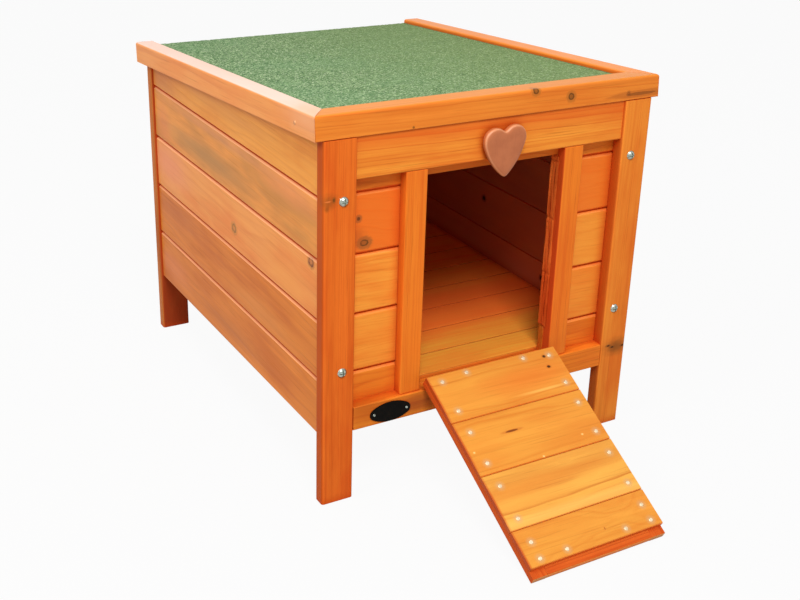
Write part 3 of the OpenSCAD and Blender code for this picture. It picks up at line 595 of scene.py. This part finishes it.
@dataclass(frozen=True)
class Terracotta:
    """Painted heart: a soft dusty terracotta over fine wood."""

    name: str = "heart_paint"
    colour: Colour = (188, 106, 60)
    dusk: Colour = (178, 98, 54)
    fibre: Colour = (166, 88, 50)
    # a lighter rim on the rounded edge: rubbed paint and a painted highlight
    rubbed_and_highlit: Colour = (228, 158, 112)

    def made(self) -> bpy.types.Material:
        """Build the paint.

        Returns:
            Its material.
        """
        g = Graph.new(self.name, self.colour)
        spot = g.add("TexCoord")
        where = spot.outputs["Object"]
        cloud = g.noise(where, 55.0, 3.0, 0.6)
        g.tint(self.dusk, g.step(cloud, 0.35, 0.7))
        fibre = g.noise(g.stretched(where, (1.0, 1.0, 0.06)), 700.0, 3.0, 0.6)
        g.tint(self.fibre, g.step(fibre, 0.5, 0.75), 0.3)
        # the lighter rim on the rounded edge, all around: rubbed paint and a painted highlight
        front = g.dot(spot.outputs["Normal"], FRONT)
        rim = g.math("MULTIPLY", g.step(front, 0.97, 0.7), g.step(front, 0.0, 0.4))
        g.tint(self.rubbed_and_highlit, rim, 0.6)
        orange = g.noise(where, 900.0, 2.0)
        return g.surface({
            "Roughness": g.total(cloud, 0.2, 0.36), "Specular IOR Level": 0.45,
            "Coat Weight": 0.12, "Coat Roughness": 0.3, "Normal": g.bump(orange, 0.00008, 0.5)})


class Piece:
    """One object on the bench."""

    def __init__(self, body: bpy.types.Object) -> None:
        """Take an object onto the bench."""
        self.body = body

    def dress(self, material: bpy.types.Material) -> None:
        """Give it one material in place of those it has, and report it.

        Args:
            material: The material.
        """
        self.body.data.materials.clear()
        self.body.data.materials.append(material)
        LOG.info("%s: %s", self.body.name, material.name)

    def bare(self) -> None:
        """Drop the normals that a packed mesh brings along."""
        kept = self.body.data.attributes
        if "custom_normal" in kept:
            kept.remove(kept["custom_normal"])

    def smooth(self, smooth: bool) -> None:
        """Shade all of its faces smooth or flat."""
        faces = self.body.data.polygons
        faces.foreach_set("use_smooth", [smooth] * len(faces))

    def alone(self) -> None:
        """Select it, nothing else, and make it active."""
        for other in bpy.context.view_layer.objects:
            other.select_set(False)
        self.body.select_set(True)
        bpy.context.view_layer.objects.active = self.body

    def edit(self) -> None:
        """Start to edit all of its mesh."""
        self.alone()
        bpy.ops.object.mode_set(mode="EDIT")
        bpy.ops.mesh.select_all(action="SELECT")

    def modify(self, kind: str, **settings: object) -> None:
        """Add a live modifier.

        Args:
            kind: The modifier's kind.
            **settings: Its settings.
        """
        modifier = self.body.modifiers.new(kind.lower(), kind)
        for key, value in settings.items():
            setattr(modifier, key, value)

    def apply(self) -> None:
        """Apply all of its modifiers, in order."""
        self.alone()
        for name in [m.name for m in self.body.modifiers]:
            bpy.ops.object.modifier_apply(modifier=name)

    @classmethod
    def sheet(cls, name: str, size: Pair, cells: tuple[int, int], **shake: float) -> "Piece":
        """Lay a flat grid about the origin and shake its points.

        Args:
            name: The new piece's name.
            size: Its lengths along X and Y.
            cells: How many faces it has along them.
            **shake: How far the points move, and the draw's seed.

        Returns:
            The new piece, selected and active.
        """
        bpy.ops.mesh.primitive_grid_add(x_subdivisions=cells[0], y_subdivisions=cells[1],
                                        size=1.0, location=(0.0, 0.0, 0.0))
        piece = cls(bpy.context.object)
        piece.body.name = name
        piece.edit()
        bpy.ops.transform.resize(value=(*size, 1.0))
        bpy.ops.transform.vertex_random(**shake)
        bpy.ops.object.mode_set(mode="OBJECT")
        return piece


def dress_wood(woods: dict[str, Wood], width: float) -> None:
    """Dress wooden nodes, weld their loose triangles and round their edges.

    Args:
        woods: What each node is made of.
        width: How far the rounding reaches from an edge.
    """
    for node, wood in woods.items():
        piece = Piece(frame["nodes"][node])
        piece.bare()
        piece.smooth(False)
        piece.modify("WELD", merge_threshold=MERGE)
        piece.modify("DECIMATE", decimate_type="DISSOLVE", angle_limit=FLAT)
        piece.modify("BEVEL", width=width, segments=2, limit_method="ANGLE", angle_limit=SHARP)
        low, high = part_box(node)
        piece.dress(Timber(wood, node, (low + high) / 2).finished())


@dataclass
class Studio:
    """The floor, the lamps and the camera."""

    floor_size: float = 14.0
    floor_drop: float = 0.0002
    cloth: float = 0.5
    glow: float = 0.94
    world_light: float = 0.45
    aim: Place = (0.0, 0.1, 0.2)
    lamp_size: float = 0.9
    lamps: tuple[tuple[str, Place, float], ...] = (
        ("key_lamp", (-0.65, -1.6, 2.25), 46.0), ("side_lamp", (-1.9, -0.3, 1.9), 22.0))
    camera_place: Place = (-0.698461, -1.137146, 0.745075)
    camera_turn: Place = (66.92214, -1.86203, -30.35641)
    lens: float = 54.73
    shift: Pair = (-0.01286, -0.03478)

    def build(self) -> None:
        """Build all of it."""
        self.floor()
        self.world()
        self.light()
        self.camera()

    def floor(self) -> None:
        """Lay a pale floor that shows only the object's shadow."""
        bpy.ops.mesh.primitive_plane_add(size=self.floor_size, location=(0, 0, -self.floor_drop))
        floor = bpy.context.object
        floor.name = "studio_floor"
        g = Graph.new("studio_floor")
        cloth = g.add("BsdfDiffuse", {"Color": (self.cloth, self.cloth, self.cloth, 1)})
        glow = g.add("Emission", {"Color": (1, 1, 1, 1), "Strength": 1.0})
        share = g.math("MULTIPLY", g.seen(), self.glow)
        both = g.add("MixShader", {0: share, 1: cloth.outputs[0], 2: glow.outputs[0]})
        Piece(floor).dress(g.close(both))

    def world(self) -> None:
        """Fill the studio with even light and show it white."""
        world = bpy.data.worlds.new("studio_white")
        bpy.context.scene.world = world
        g = Graph(world)
        span = g.add("MapRange", {0: g.seen(), 3: self.world_light, 4: 1.0})
        white = {"Color": (1, 1, 1, 1), "Strength": span.outputs[0]}
        g.close(g.add("Background", white), "OutputWorld")

    def light(self) -> None:
        """Hang the soft square lamps that face the hutch."""
        for name, place, power in self.lamps:
            light = bpy.data.lights.new(name, "AREA")
            light.size = self.lamp_size
            light.energy = power
            lamp = bpy.data.objects.new(name, light)
            lamp.location = place
            aim = Vector(self.aim) - Vector(place)
            lamp.rotation_euler = aim.to_track_quat("-Z", "Y").to_euler()
            bpy.context.scene.collection.objects.link(lamp)

    def camera(self) -> None:
        """Stand the camera where the photograph was taken."""
        view = bpy.data.cameras.new("view")
        view.lens = self.lens
        view.sensor_width = 36.0
        view.shift_x, view.shift_y = self.shift
        camera = bpy.data.objects.new("view", view)
        camera.location = self.camera_place
        camera.rotation_euler = [math.radians(a) for a in self.camera_turn]
        bpy.context.scene.collection.objects.link(camera)
        bpy.context.scene.camera = camera


@dataclass
class Cabin:
    """The box: posts, rails, boards, battens and floor."""

    edge: float = 0.0007
    post_edge: float = 0.0009
    lip: float = 0.0014
    plank_edge: float = 0.0008

    def build(self) -> None:
        """Dress every wooden node of the box."""
        self.posts()
        self.rails()
        self.front()
        self.sides()
        self.inside()

    def posts(self) -> None:
        """Dress the four posts."""
        # painted shade on the posts' left side faces
        upright = Wood(POST, Grain.UPRIGHT, (0.07, 0.03, 0.0), (0.5, 0.4), 0.0034, 0.45,
                       wave=0.003, flush=0.6, shine=0.04, face=(LEFT, (180, 76, 22), 0.75))
        knots = (Mark.soft((-0.196, -0.1496, 0.3445), (0.0075, 0.01, 0.0065), (142, 78, 30), 0.6),
                 Mark((-0.197, -0.1496, 0.345), (0.0034, 0.008, 0.0009), (236, 128, 62),
                      (206, 104, 44), 0.75, 0.4, 1.6, pull=0.002, stir=0.3),
                 Mark((-0.1905, -0.1496, 0.346), (0.0013, 0.004, 0.0022), (96, 62, 24),
                      (146, 84, 32), 0.7, 0.5, 2.2),
                 Mark.soft((-0.198, -0.1496, 0.3375), (0.002, 0.004, 0.0028), (140, 74, 28), 0.6))
        leg_knots = (
            Mark.soft((0.189, -0.1496, 0.1035), (0.014, 0.01, 0.009), (132, 78, 34), 0.8),
            *(Mark((x, -0.1496, z), (0.0026, 0.004, 0.0011), (52, 28, 12), (130, 78, 38), 0.85,
                   0.5, 2.4, stir=1.0)
              for x, z in ((0.1765, 0.1064), (0.1826, 0.1036), (0.1985, 0.1028))))
        # painted shade on the rear posts' front faces, which lie in the cabin's shade
        rear = replace(upright, tone=SHADE, seed=5.0, face=(FRONT, (160, 60, 26), 0.95))
        dress_wood({
            "front_left_post": replace(upright, marks=knots),
            "front_right_post": replace(upright, tone=WARM, pith=(-0.06, 0.04, 0.0), seed=3.0,
                                        marks=leg_knots),
            "rear_left_post": rear,
            "rear_right_post": replace(rear, tone=ORANGE, seed=7.0)}, self.post_edge)

    def rails(self) -> None:
        """Dress the four rails and the two jambs."""
        top = Wood(AMBER, Grain.ACROSS, (0.0, 0.02, 0.07), (0.3, 0.7), 0.0042, 0.8, wave=0.004,
                   fibre=0.7, seed=11.0)
        upper = Mark.soft((0.0, -0.1466, 0.403), (0.013, 0.02, 1.2), (230, 98, 30), 0.6, 1.7, 0.3)
        stains = (Mark.soft((-0.085, -0.149, 0.096), (0.012, 0.02, 0.03), (124, 52, 34), 0.6),
                  Mark.soft((-0.148, -0.149, 0.11), (0.03, 0.02, 0.03), (178, 84, 24), 0.6))
        low = replace(top, tone=LOW, pith=(0.0, 0.03, -0.05), contrast=0.6, seed=13.0,
                      marks=stains)
        # painted shade on each jamb's side face toward the doorway
        jamb = Wood(FLAME, Grain.UPRIGHT, (0.05, 0.03, 0.0), (0.4, 0.3), 0.003,
                    wave=0.003, seed=23.0, face=(RIGHT, (204, 70, 26), 0.9))
        dress_wood({
            "front_top_rail": replace(top, marks=(upper,)),
            "front_bottom_rail": low,
            "rear_top_rail": replace(top, tone=BROWN, seed=17.0),
            "rear_bottom_rail": replace(low, tone=BROWN, seed=19.0, marks=()),
            "left_jamb": jamb,
            "right_jamb": replace(jamb, pith=(-0.06, 0.03, 0.0), seed=29.0,
                                  face=(LEFT, (204, 70, 26), 0.9))}, self.edge)

    def front(self) -> None:
        """Dress the boards of the front."""
        # the front boards carry painted shading in their grooves and corners, painted shade under
        # their rounded edges and painted light over them
        board = Wood(INFILL, Grain.ACROSS, (0.0, 0.03, 0.05), (1.5, 3.0), 0.0046, wave=0.012,
                     apart=True, courses=(0.15, 0.05, 0.85), shown=FRONT, swirl=0.5,
                     deep=(248, 108, 38), painted_corner_shading=(214, 84, 24), seed=31.0)
        knots = (Mark((-0.1545, -0.1336, 0.3155), (0.0024, 0.004, 0.0022), (84, 52, 26),
                      (146, 88, 46), 0.8, 0.6, 2.6),
                 Mark((-0.1475, -0.1336, 0.2885), (0.0042, 0.004, 0.0056), (88, 56, 22),
                      (150, 92, 44), 0.85, 0.65, 2.3, 0.7),
                 Mark.soft((-0.156, -0.1336, 0.296), (0.009, 0.004, 0.008), (176, 84, 34), 0.4))
        dress_wood({
            "front_left_boards": replace(board, marks=knots),
            "front_right_boards": replace(board, seed=37.0, contrast=0.35,
                                          courses=(0.25, 0.2, 0.75))}, self.lip)
        plain = replace(board, apart=False, courses=(), pool=0.35, tone=ORANGE)
        dress_wood({"front_head_board": replace(plain, seed=41.0, pool=0.2),
                    "front_sill_board": replace(plain, seed=43.0)}, self.edge)

    def sides(self) -> None:
        """Dress the boards of the two sides and the back."""
        # the side boards carry painted shade on their inside faces, in their grooves and corners
        # and under their rounded edges, and painted light over those edges
        board = Wood(PEACH, Grain.DEEP, (0.05, 0.0, 0.02), (1.6, 0.0), 0.0052, 0.3, wave=0.01,
                     flush=0.8, gloss=0.42, shine=0.13, shown=LEFT, swirl=0.25,
                     under=(226, 84, 40), over=(255, 196, 150), deep=(224, 88, 44),
                     face=(RIGHT, INSIDE_SHADE, 0.9))
        eye = Mark((-0.199, 0.084, 0.2372), (0.0048, 0.006, 0.0068), (128, 92, 36),
                   (196, 126, 56), 0.75, 0.5, 1.8, 0.8)
        joint = Mark((-0.199, -0.1165, 0.2705), (0.0055, 0.006, 0.0068), (112, 50, 20),
                     (170, 100, 44), 0.9, 0.5, 1.6, 0.85)
        knots = ((), (), (eye, joint), (), ())
        stains = (
            ((0.3, 0.108, 0.05, 0.014, (230, 130, 72), 0.6),
             (0.1, 0.1, 0.09, 0.01, (190, 104, 36), 0.5)),
            ((0.28, 0.19, 0.07, 0.014, (188, 94, 38), 0.55),
             (0.02, 0.16, 0.08, 0.012, (222, 138, 62), 0.5)),
            ((0.3, 0.25, 0.06, 0.02, (244, 150, 106), 0.75),
             (-0.06, 0.228, 0.05, 0.016, (246, 160, 76), 0.5)),
            ((0.16, 0.3, 0.1, 0.012, (172, 122, 66), 0.75),
             (0.31, 0.3, 0.02, 0.02, (230, 132, 72), 0.6),
             (-0.07, 0.33, 0.06, 0.012, (240, 146, 92), 0.5),
             (0.12, 0.335, 0.14, 0.005, (214, 140, 96), 0.5)),
            ((0.32, 0.36, 0.05, 0.03, (206, 122, 60), 0.6),
             (0.1, 0.372, 0.1, 0.008, (226, 146, 66), 0.4)))
        inner = [(Mark((0.19, y, z), (0.004, 0.0034, 0.0038), (22, 9, 7), (96, 38, 28), 0.9, 0.5),)
                 for y, z in ((0.0063, 0.131), (0.1465, 0.1947))]
        tones = (BROWN, BROWN, PEACH, DRAB, OCHRE)
        rows = zip(tones, knots, stains, [*inner, (), (), ()])
        for course, (tone, outer, soft, within) in enumerate(rows, 1):
            marks = (Mark.soft((-0.199, y, z), (0.02, high, long), colour, share, 1.9, 0.6)
                     for y, z, long, high, colour, share in soft)
            left = replace(board, tone=tone, seed=47.0 + course * 3.3,
                           pith=(0.05, 0.0, 0.02 - 0.013 * course), marks=(*outer, *marks))
            # painted shade: the right boards' inside faces grow darker course by course toward the
            # roof
            inside_shade_scale = 1.0 - 0.09 * (course - 1)
            right = replace(board, tone=tone, seed=83.0 + course * 2.9,
                            pith=(-0.05, 0.0, 0.03 - 0.011 * course), shown=RIGHT, marks=within,
                            face=(LEFT, tuple(c * inside_shade_scale for c in INSIDE_SHADE), 0.9))
            dress_wood({f"left_board_{course}": left, f"right_board_{course}": right}, self.edge)
        # painted shade on the back's inside face
        rear = replace(board, grain=Grain.ACROSS, pith=(0.0, -0.05, 0.02), tone=AMBER, apart=True,
                       shown=BACK, face=(FRONT, INSIDE_SHADE, 0.9), courses=(0.3, 0.9, 0.1, 0.7, 0.4),
                       steps=(2, JOINT - COURSE, COURSE), seed=101.0)
        dress_wood({"rear_boards": rear}, self.edge)

    def inside(self) -> None:
        """Dress the battens, the bearers and the floor."""
        batten = Wood(SHADE, Grain.UPRIGHT, (0.04, 0.03, 0.0), (0.5, 0.4), 0.003, seed=107.0)
        spots = ("front_left", "front_right", "rear_left", "rear_right")
        woods = {f"{spot}_batten": replace(batten, seed=107.0 + 3 * number)
                 for number, spot in enumerate(spots)}
        woods["floor_bearers"] = replace(batten, grain=Grain.DEEP, apart=True)
        dress_wood(woods, self.edge)
        # the redder flush, plank by plank from the front, is partly plank tone and partly painted
        # shade: little on the two front planks in the doorway's light, most on the third and fourth
        # behind them; the rounded edges and grooves also get painted shade
        floor = Wood(PLANK, Grain.ACROSS, (0.0, 0.02, -0.05), (0.6, 1.0), 0.0044, 0.7, wave=0.008,
                     apart=True, shown=UP, over=(150, 44, 12), deep=(120, 34, 10), flush=0.3,
                     courses=(0.0, 0.1, 0.8, 0.9, 0.65, 0.45, 0.4, 0.4, 0.4),
                     steps=(1, -0.12, 0.0515), fading=True, seed=127.0)
        dress_wood({"floor_boards": floor}, self.plank_edge)


@dataclass
class Doorway:
    """The sawn board ends that show at the two sides of the doorway."""

    ends: Pair = (-0.0826, 0.0894)
    deep: Pair = (-0.1382, -0.1248)
    high: Pair = (0.1452, 0.3494)
    cell: float = 0.0006
    rough: float = 0.0005
    ridges: float = 0.0006  # how far the saw's ridges stand out
    tears: float = 0.0003  # how far the torn fibres stand out
    groove: float = 0.003  # how wide the joints' notches are
    least: float = 0.0002  # how far the skin stands out at least, and at most
    most: float = 0.0011
    skin: float = 0.0006  # how thick it is
    slits: tuple[Place, ...] = (
        (0.0045, 0.327, 0.014), (0.0078, 0.29, 0.016), (0.0055, 0.248, 0.02),
        (0.008, 0.203, 0.017), (0.0048, 0.168, 0.013))

    def build(self) -> None:
        """Build both sides."""
        self.side("door_left_sawn_ends", self.ends[0], 1.0, (0.0, 0.0002, -0.0002))
        self.side("door_right_sawn_ends", self.ends[1], -1.0, (0.0002, 0.0, 0.0003))

    def side(self, name: str, x: float, way: float, shifts: Place) -> None:
        """Lay a rough skin on the sawn ends of one side.

        Args:
            name: The piece's name.
            x: Where the boards end.
            way: 1 where the doorway lies toward +X, otherwise -1.
            shifts: How much further each course stands into the doorway.
        """
        deep, high = self.deep[1] - self.deep[0], self.high[1] - self.high[0]
        cells = (round(high / self.cell), round(deep / self.cell))
        skin = Piece.sheet(name, (high, deep), cells, offset=self.rough, uniform=0.0, normal=1.0,
                           seed=5)
        for vertex in skin.body.data.vertices:
            up = vertex.co.x + high / 2
            course = min(2, int(up / COURSE))
            across = vertex.co.y / deep
            bend = 0.5 * math.sin(up * 47 + course * 2.1) + 0.3 * math.sin(up * 131)
            ridge = self.ridges * (0.5 + 0.5 * math.sin(across * 17 + bend * 2.4))
            tear = max(0.0, math.sin(up * 610 + across * 4) * math.sin(up * 237 + 1.0))
            joint = up + self.high[0] - JOINT
            notch = min(1.0, abs(joint - COURSE * round(joint / COURSE)) / self.groove)
            stand = abs(vertex.co.z) + shifts[course] + ridge + self.tears * tear
            out = min(self.least + stand * notch, self.most)
            vertex.co = Vector((x + way * out, self.deep[0] + deep / 2 + vertex.co.y,
                                self.high[0] + up))
        skin.modify("SOLIDIFY", thickness=self.skin, offset=0.0)
        skin.apply()
        skin.edit()
        bpy.ops.mesh.normals_make_consistent(inside=False)
        bpy.ops.object.mode_set(mode="OBJECT")
        slits = tuple(Mark((x, self.deep[0] + inward, z), (0.004, 0.0007, long), (120, 26, 6),
                           (186, 58, 16), 0.8, 0.55, 2.2, pull=0.001, stir=0.8)
                      for inward, z, long in self.slits)
        # painted shade in the torn ends' grooves and corners
        torn = Wood(TORN, Grain.UPRIGHT, (0.05, 0.004, 0.0), ring=0.0026, contrast=0.95,
                    wave=0.005, flush=0.7, fibre=0.9, gloss=0.6, shine=0.04, seed=211.0,
                    end=(196, 84, 40), deep=(180, 60, 20), marks=slits)
        skin.dress(Timber(torn, name, Vector((x, self.deep[0], 0.25))).finished())
        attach(skin.body, "cabin")


@dataclass
class Roof:
    """The hinged roof: deck, felt, trims and batten."""

    deck_edge: float = 0.0006
    trim_edge: float = 0.0008
    felt_cell: float = 0.0024
    felt_rough: float = 0.0007
    felt_thick: float = 0.0018
    felt_lift: float = 0.00105  # how far its top lies over the slab's middle
    felt_gap: float = 0.0026  # how much shorter it is than the slab

    def build(self) -> None:
        """Dress the wooden nodes and lay the felt."""
        deck = Wood(HONEY, Grain.ACROSS, (0.0, 0.05, -0.05), (1.0, 0.5), 0.005, 0.4, seed=131.0)
        dress_wood({"roof_deck": deck,
                    "roof_rear_batten": replace(deck, tone=AMBER, seed=137.0)}, self.deck_edge)
        knots = tuple(
            Mark((x, -0.1488, z), (half, 0.008, half), (92, 56, 20), (176, 102, 38), 0.9, 0.6,
                 2.0, 0.45, stir=0.4)
            for x, z, half in ((0.0444, 0.4292, 0.0042), (0.0903, 0.4186, 0.0044),
                               (0.1684, 0.4137, 0.0022), (-0.1029, 0.4081, 0.0011)))
        streak = Mark((0.186, -0.1488, 0.4122), (0.0021, 0.004, 0.024), (122, 66, 26),
                      (176, 92, 34), 0.6, 0.55, 2.6)
        # a warmer patch at the left trim's front end, which tones down the painted highlight on its
        # top there
        warm = Mark.soft((-0.2, -0.135, 0.43), (0.03, 0.02, 0.05), (246, 176, 128), 0.65)
        # painted highlight on the front trim's top
        front = Wood(LEDGE, Grain.ACROSS, (0.0, 0.04, 0.05), (0.8, 0.4), 0.004, 0.6, wave=0.004,
                     gloss=0.4, seed=139.0, face=(ROOF_UP, (226, 144, 58), 0.65),
                     marks=(*knots, streak))
        # painted reflection on the left trim's top
        side = Wood(PEACH, Grain.ROOF, (0.04, 0.0, 0.03), (0.8, 0.4), 0.004, wave=0.004,
                    gloss=0.4, shine=0.16, seed=149.0, face=(ROOF_UP, (255, 216, 200), 0.85))
        dress_wood({
            "roof_trim_front": front,
            "roof_trim_left": replace(side, marks=(warm,)),
            # a weaker painted highlight on the right trim's top
            "roof_trim_right": replace(side, tone=ORANGE, shine=0.12, seed=151.0,
                                       face=(ROOF_UP, (250, 158, 80), 0.6))}, self.trim_edge)
        self.felt()

    def felt(self) -> None:
        """Lay a grained sheet of felt where the packed slab lies."""
        low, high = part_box("roof_felt")
        slope = math.radians(ROOF_SLOPE)
        wide, deep = high.x - low.x, (high.y - low.y) / math.cos(slope)
        cells = (round(wide / self.felt_cell), round(deep / self.felt_cell))
        sheet = Piece.sheet("felt_sheet", (wide, deep - self.felt_gap), cells,
                            offset=self.felt_rough, uniform=0.15, normal=0.0, seed=7)
        felt = sheet.body
        for vertex in felt.data.vertices:
            vertex.co.x = max(-wide / 2, min(wide / 2, vertex.co.x))
            vertex.co.z = min(0.0, vertex.co.z) * 0.8
        felt.rotation_euler = (-slope, 0.0, 0.0)
        felt.location = (low + high) / 2 + Vector((0.0, 0.0, self.felt_lift))
        sheet.modify("SOLIDIFY", thickness=self.felt_thick, offset=-1.0)
        sheet.apply()
        bpy.ops.object.transform_apply(location=True, rotation=True, scale=True)
        sheet.dress(Felt().made())
        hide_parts("roof_felt")
        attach(felt, "roof")


@dataclass
class Ramp:
    """The hinged ramp: four boards on a frame."""

    edge: float = 0.0003
    left: float = -0.0811
    middles: tuple[float, ...] = (0.03, 0.09, 0.16, 0.22)
    top: Pair = (-0.1562, 0.1287)
    fall: Pair = (-0.878, -0.478)
    outer: Pair = (-0.0656, 0.0764)
    inner: Pair = (-0.0323, 0.0432)
    rows: tuple[tuple[float, ...], ...] = ((0.01, 0.0485), (0.0765, 0.1155), (0.1435, 0.1825),
                                           (0.21, 0.2287))
    inner_rows: tuple[tuple[float, ...], ...] = ((0.0057,), (), (), (0.2287,))

    def spot(self, x: float, along: float) -> Place:
        """Return the place on the boards' face at x, so far down from the upper edge."""
        return (x, self.top[0] + self.fall[0] * along, self.top[1] + self.fall[1] * along)

    def patch(self, x: float, along: float, half: float, wide: float, colour: Colour,
              share: float) -> Mark:
        """Tint a patch of a board, half as long down the ramp and wide along the board."""
        return Mark.soft(self.spot(x, along), (half, half, wide), colour, share, stir=0.3)

    def knot(self, x: float, along: float, half: float, wide: float, core: Colour,
             halo: Colour) -> Mark:
        """Put a small knot or a hole in a board."""
        return Mark(self.spot(x, along), (half, half, wide), core, halo, 0.9, 0.45, 2.0, pull=0.002,
                    stir=0.3)

    def build(self) -> None:
        """Dress the boards and the frame under them."""
        # painted light in the boards' grooves; painted shade in their corners and on the faces that
        # look down the ramp
        base = Wood(GOLD, Grain.ACROSS, (0.0, 0.03, -0.05), (0.8, 0.6), 0.004, 0.55,
                    end=(178, 68, 22), end_share=0.85, deep=(255, 176, 84), painted_corner_shading=(228, 118, 40),
                    pool=0.2, face=(RAMP_DOWN, (230, 104, 38), 0.9))
        streaks = (self.patch(0.03, 0.03, 0.012, 0.05, (226, 104, 34), 0.35),
                   self.patch(0.05, 0.05, 0.0016, 0.03, (255, 196, 100), 0.6))
        bands = (self.patch(0.0, 0.1875, 0.0055, 0.3, (252, 196, 104), 0.42),
                 self.patch(-0.02, 0.152, 0.008, 0.1, (214, 118, 40), 0.45))
        holes = tuple(self.knot(x, along, 0.0019, 0.0025, (52, 26, 10), (190, 104, 36))
                      for x, along in ((0.0693, 0.01), (0.0676, 0.024)))
        dash = self.knot(-0.019, 0.0875, 0.0014, 0.0095, (120, 56, 20), (196, 106, 38))
        specks = tuple(self.knot(x, along, 0.0011, 0.0013, (255, 204, 130), (250, 176, 84))
                       for x, along in ((0.0584, 0.1143), (0.0001, 0.126), (-0.0735, 0.1)))
        hair = self.knot(0.0201, 0.2214, 0.0018, 0.0007, (176, 100, 36), (214, 128, 50))
        boards = (
            replace(base, marks=(*streaks, *holes), seed=161.0),
            replace(base, marks=(dash, *specks), seed=165.0, contrast=0.4),
            replace(base, tone=GRAINED, marks=bands, seed=169.0, ring=0.0026, contrast=0.9,
                    wave=0.003, pith=(0.0, 0.09, -0.12)),
            replace(base, marks=(hair,), seed=175.0, swirl=0.5, wave=0.009, ring=0.0032,
                    contrast=0.35))
        rows = zip(boards, self.middles, self.rows, self.inner_rows)
        for number, (wood, middle, outer_rows, inner_rows) in enumerate(rows, 1):
            nails = [(x, along) for x in self.outer for along in outer_rows]
            nails += [(x, along) for x in self.inner for along in inner_rows]
            halos = (self.patch(*nail, 0.0042, 0.0042, (206, 162, 112), 0.8) for nail in nails)
            rim = Mark.soft(self.spot(self.left, middle), (0.05, 0.05, 0.0026), (196, 84, 30), 0.9,
                            1.25, 0.15)
            marks = (*wood.marks, *halos, rim)
            dress_wood({f"ramp_board_{number}": replace(wood, marks=marks)}, self.edge)
        # painted shade in the stiles' grooves and corners
        stile = Wood(FOOT, Grain.RAMP, (0.04, 0.03, 0.0), (0.5, 0.3), 0.003, 0.6, shine=0.04,
                     seed=181.0, deep=(170, 50, 14), pool=0.35, end=(255, 190, 104), end_share=0.95)
        # painted light in the rails' corners and on the faces that look down the ramp; painted
        # shade in their grooves
        rail = replace(stile, grain=Grain.ACROSS, seed=193.0, painted_corner_shading=(250, 140, 58), pool=0.3,
                       deep=(206, 84, 28), face=(RAMP_DOWN, (255, 152, 64), 0.95))
        dress_wood({"ramp_left_stile": stile,
                    "ramp_right_stile": replace(stile, seed=191.0),
                    "ramp_head_rail": rail,
                    "ramp_foot_rail": replace(rail, seed=197.0)}, self.edge)


@dataclass
class Heart:
    """The turning heart in front of the top rail."""

    voxel: float = 0.0008
    smooth_steps: int = 90
    smooth_share: float = 0.6
    pivot: float = 0.381
    drop: float = 0.034
    lean: float = 0.032

    def build(self) -> None:
        """Round the heart's edges, lean it a little and dress it."""
        heart = bpy.data.objects.new("heart_rounded", frame["nodes"]["heart_button"].data.copy())
        bpy.context.scene.collection.objects.link(heart)
        piece = Piece(heart)
        piece.bare()
        piece.edit()
        bpy.ops.mesh.remove_doubles(threshold=MERGE)
        bpy.ops.object.mode_set(mode="OBJECT")
        piece.modify("REMESH", mode="VOXEL", voxel_size=self.voxel)
        piece.modify("SMOOTH", factor=self.smooth_share, iterations=self.smooth_steps)
        piece.apply()
        for vertex in heart.data.vertices:
            below = max(0.0, self.pivot - vertex.co.z)
            vertex.co.z -= below * self.drop
            vertex.co.x -= below * self.lean
        piece.smooth(True)
        piece.dress(Terracotta().made())
        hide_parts("heart_button")
        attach(heart, "heart")


@dataclass
class Fixings:
    """Screws, nails, hinges and the oval plate."""

    zinc: tuple[str, ...] = ("screw", "screws", "leaves", "pins")

    def build(self) -> None:
        """Dress the metal nodes and the plate."""
        zinc = Zinc().made()
        finishes = {node: zinc for node in frame["nodes"] if node.endswith(self.zinc)}
        finishes.update({
            "ramp_nails": Zinc("bright_nails", (238, 220, 190), (208, 188, 152), 0.55).made(),
            "roof_trim_nails": Zinc("tinted_nails", (222, 164, 116), (190, 120, 72), 0.5).made(),
            "oval_plate": Lacquer().made()})
        for node, finish in finishes.items():
            Piece(frame["nodes"][node]).dress(finish)


def main() -> None:
    """Build the studio and each part of the hutch in order."""
    logging.basicConfig(level=logging.INFO, format="%(message)s")
    bpy.context.scene.view_settings.view_transform = "Standard"
    for part in (Studio(), Cabin(), Doorway(), Roof(), Ramp(), Heart(), Fixings()):
        LOG.info("%s", part.__doc__)
        part.build()


if __name__ == "__main__":
    main()
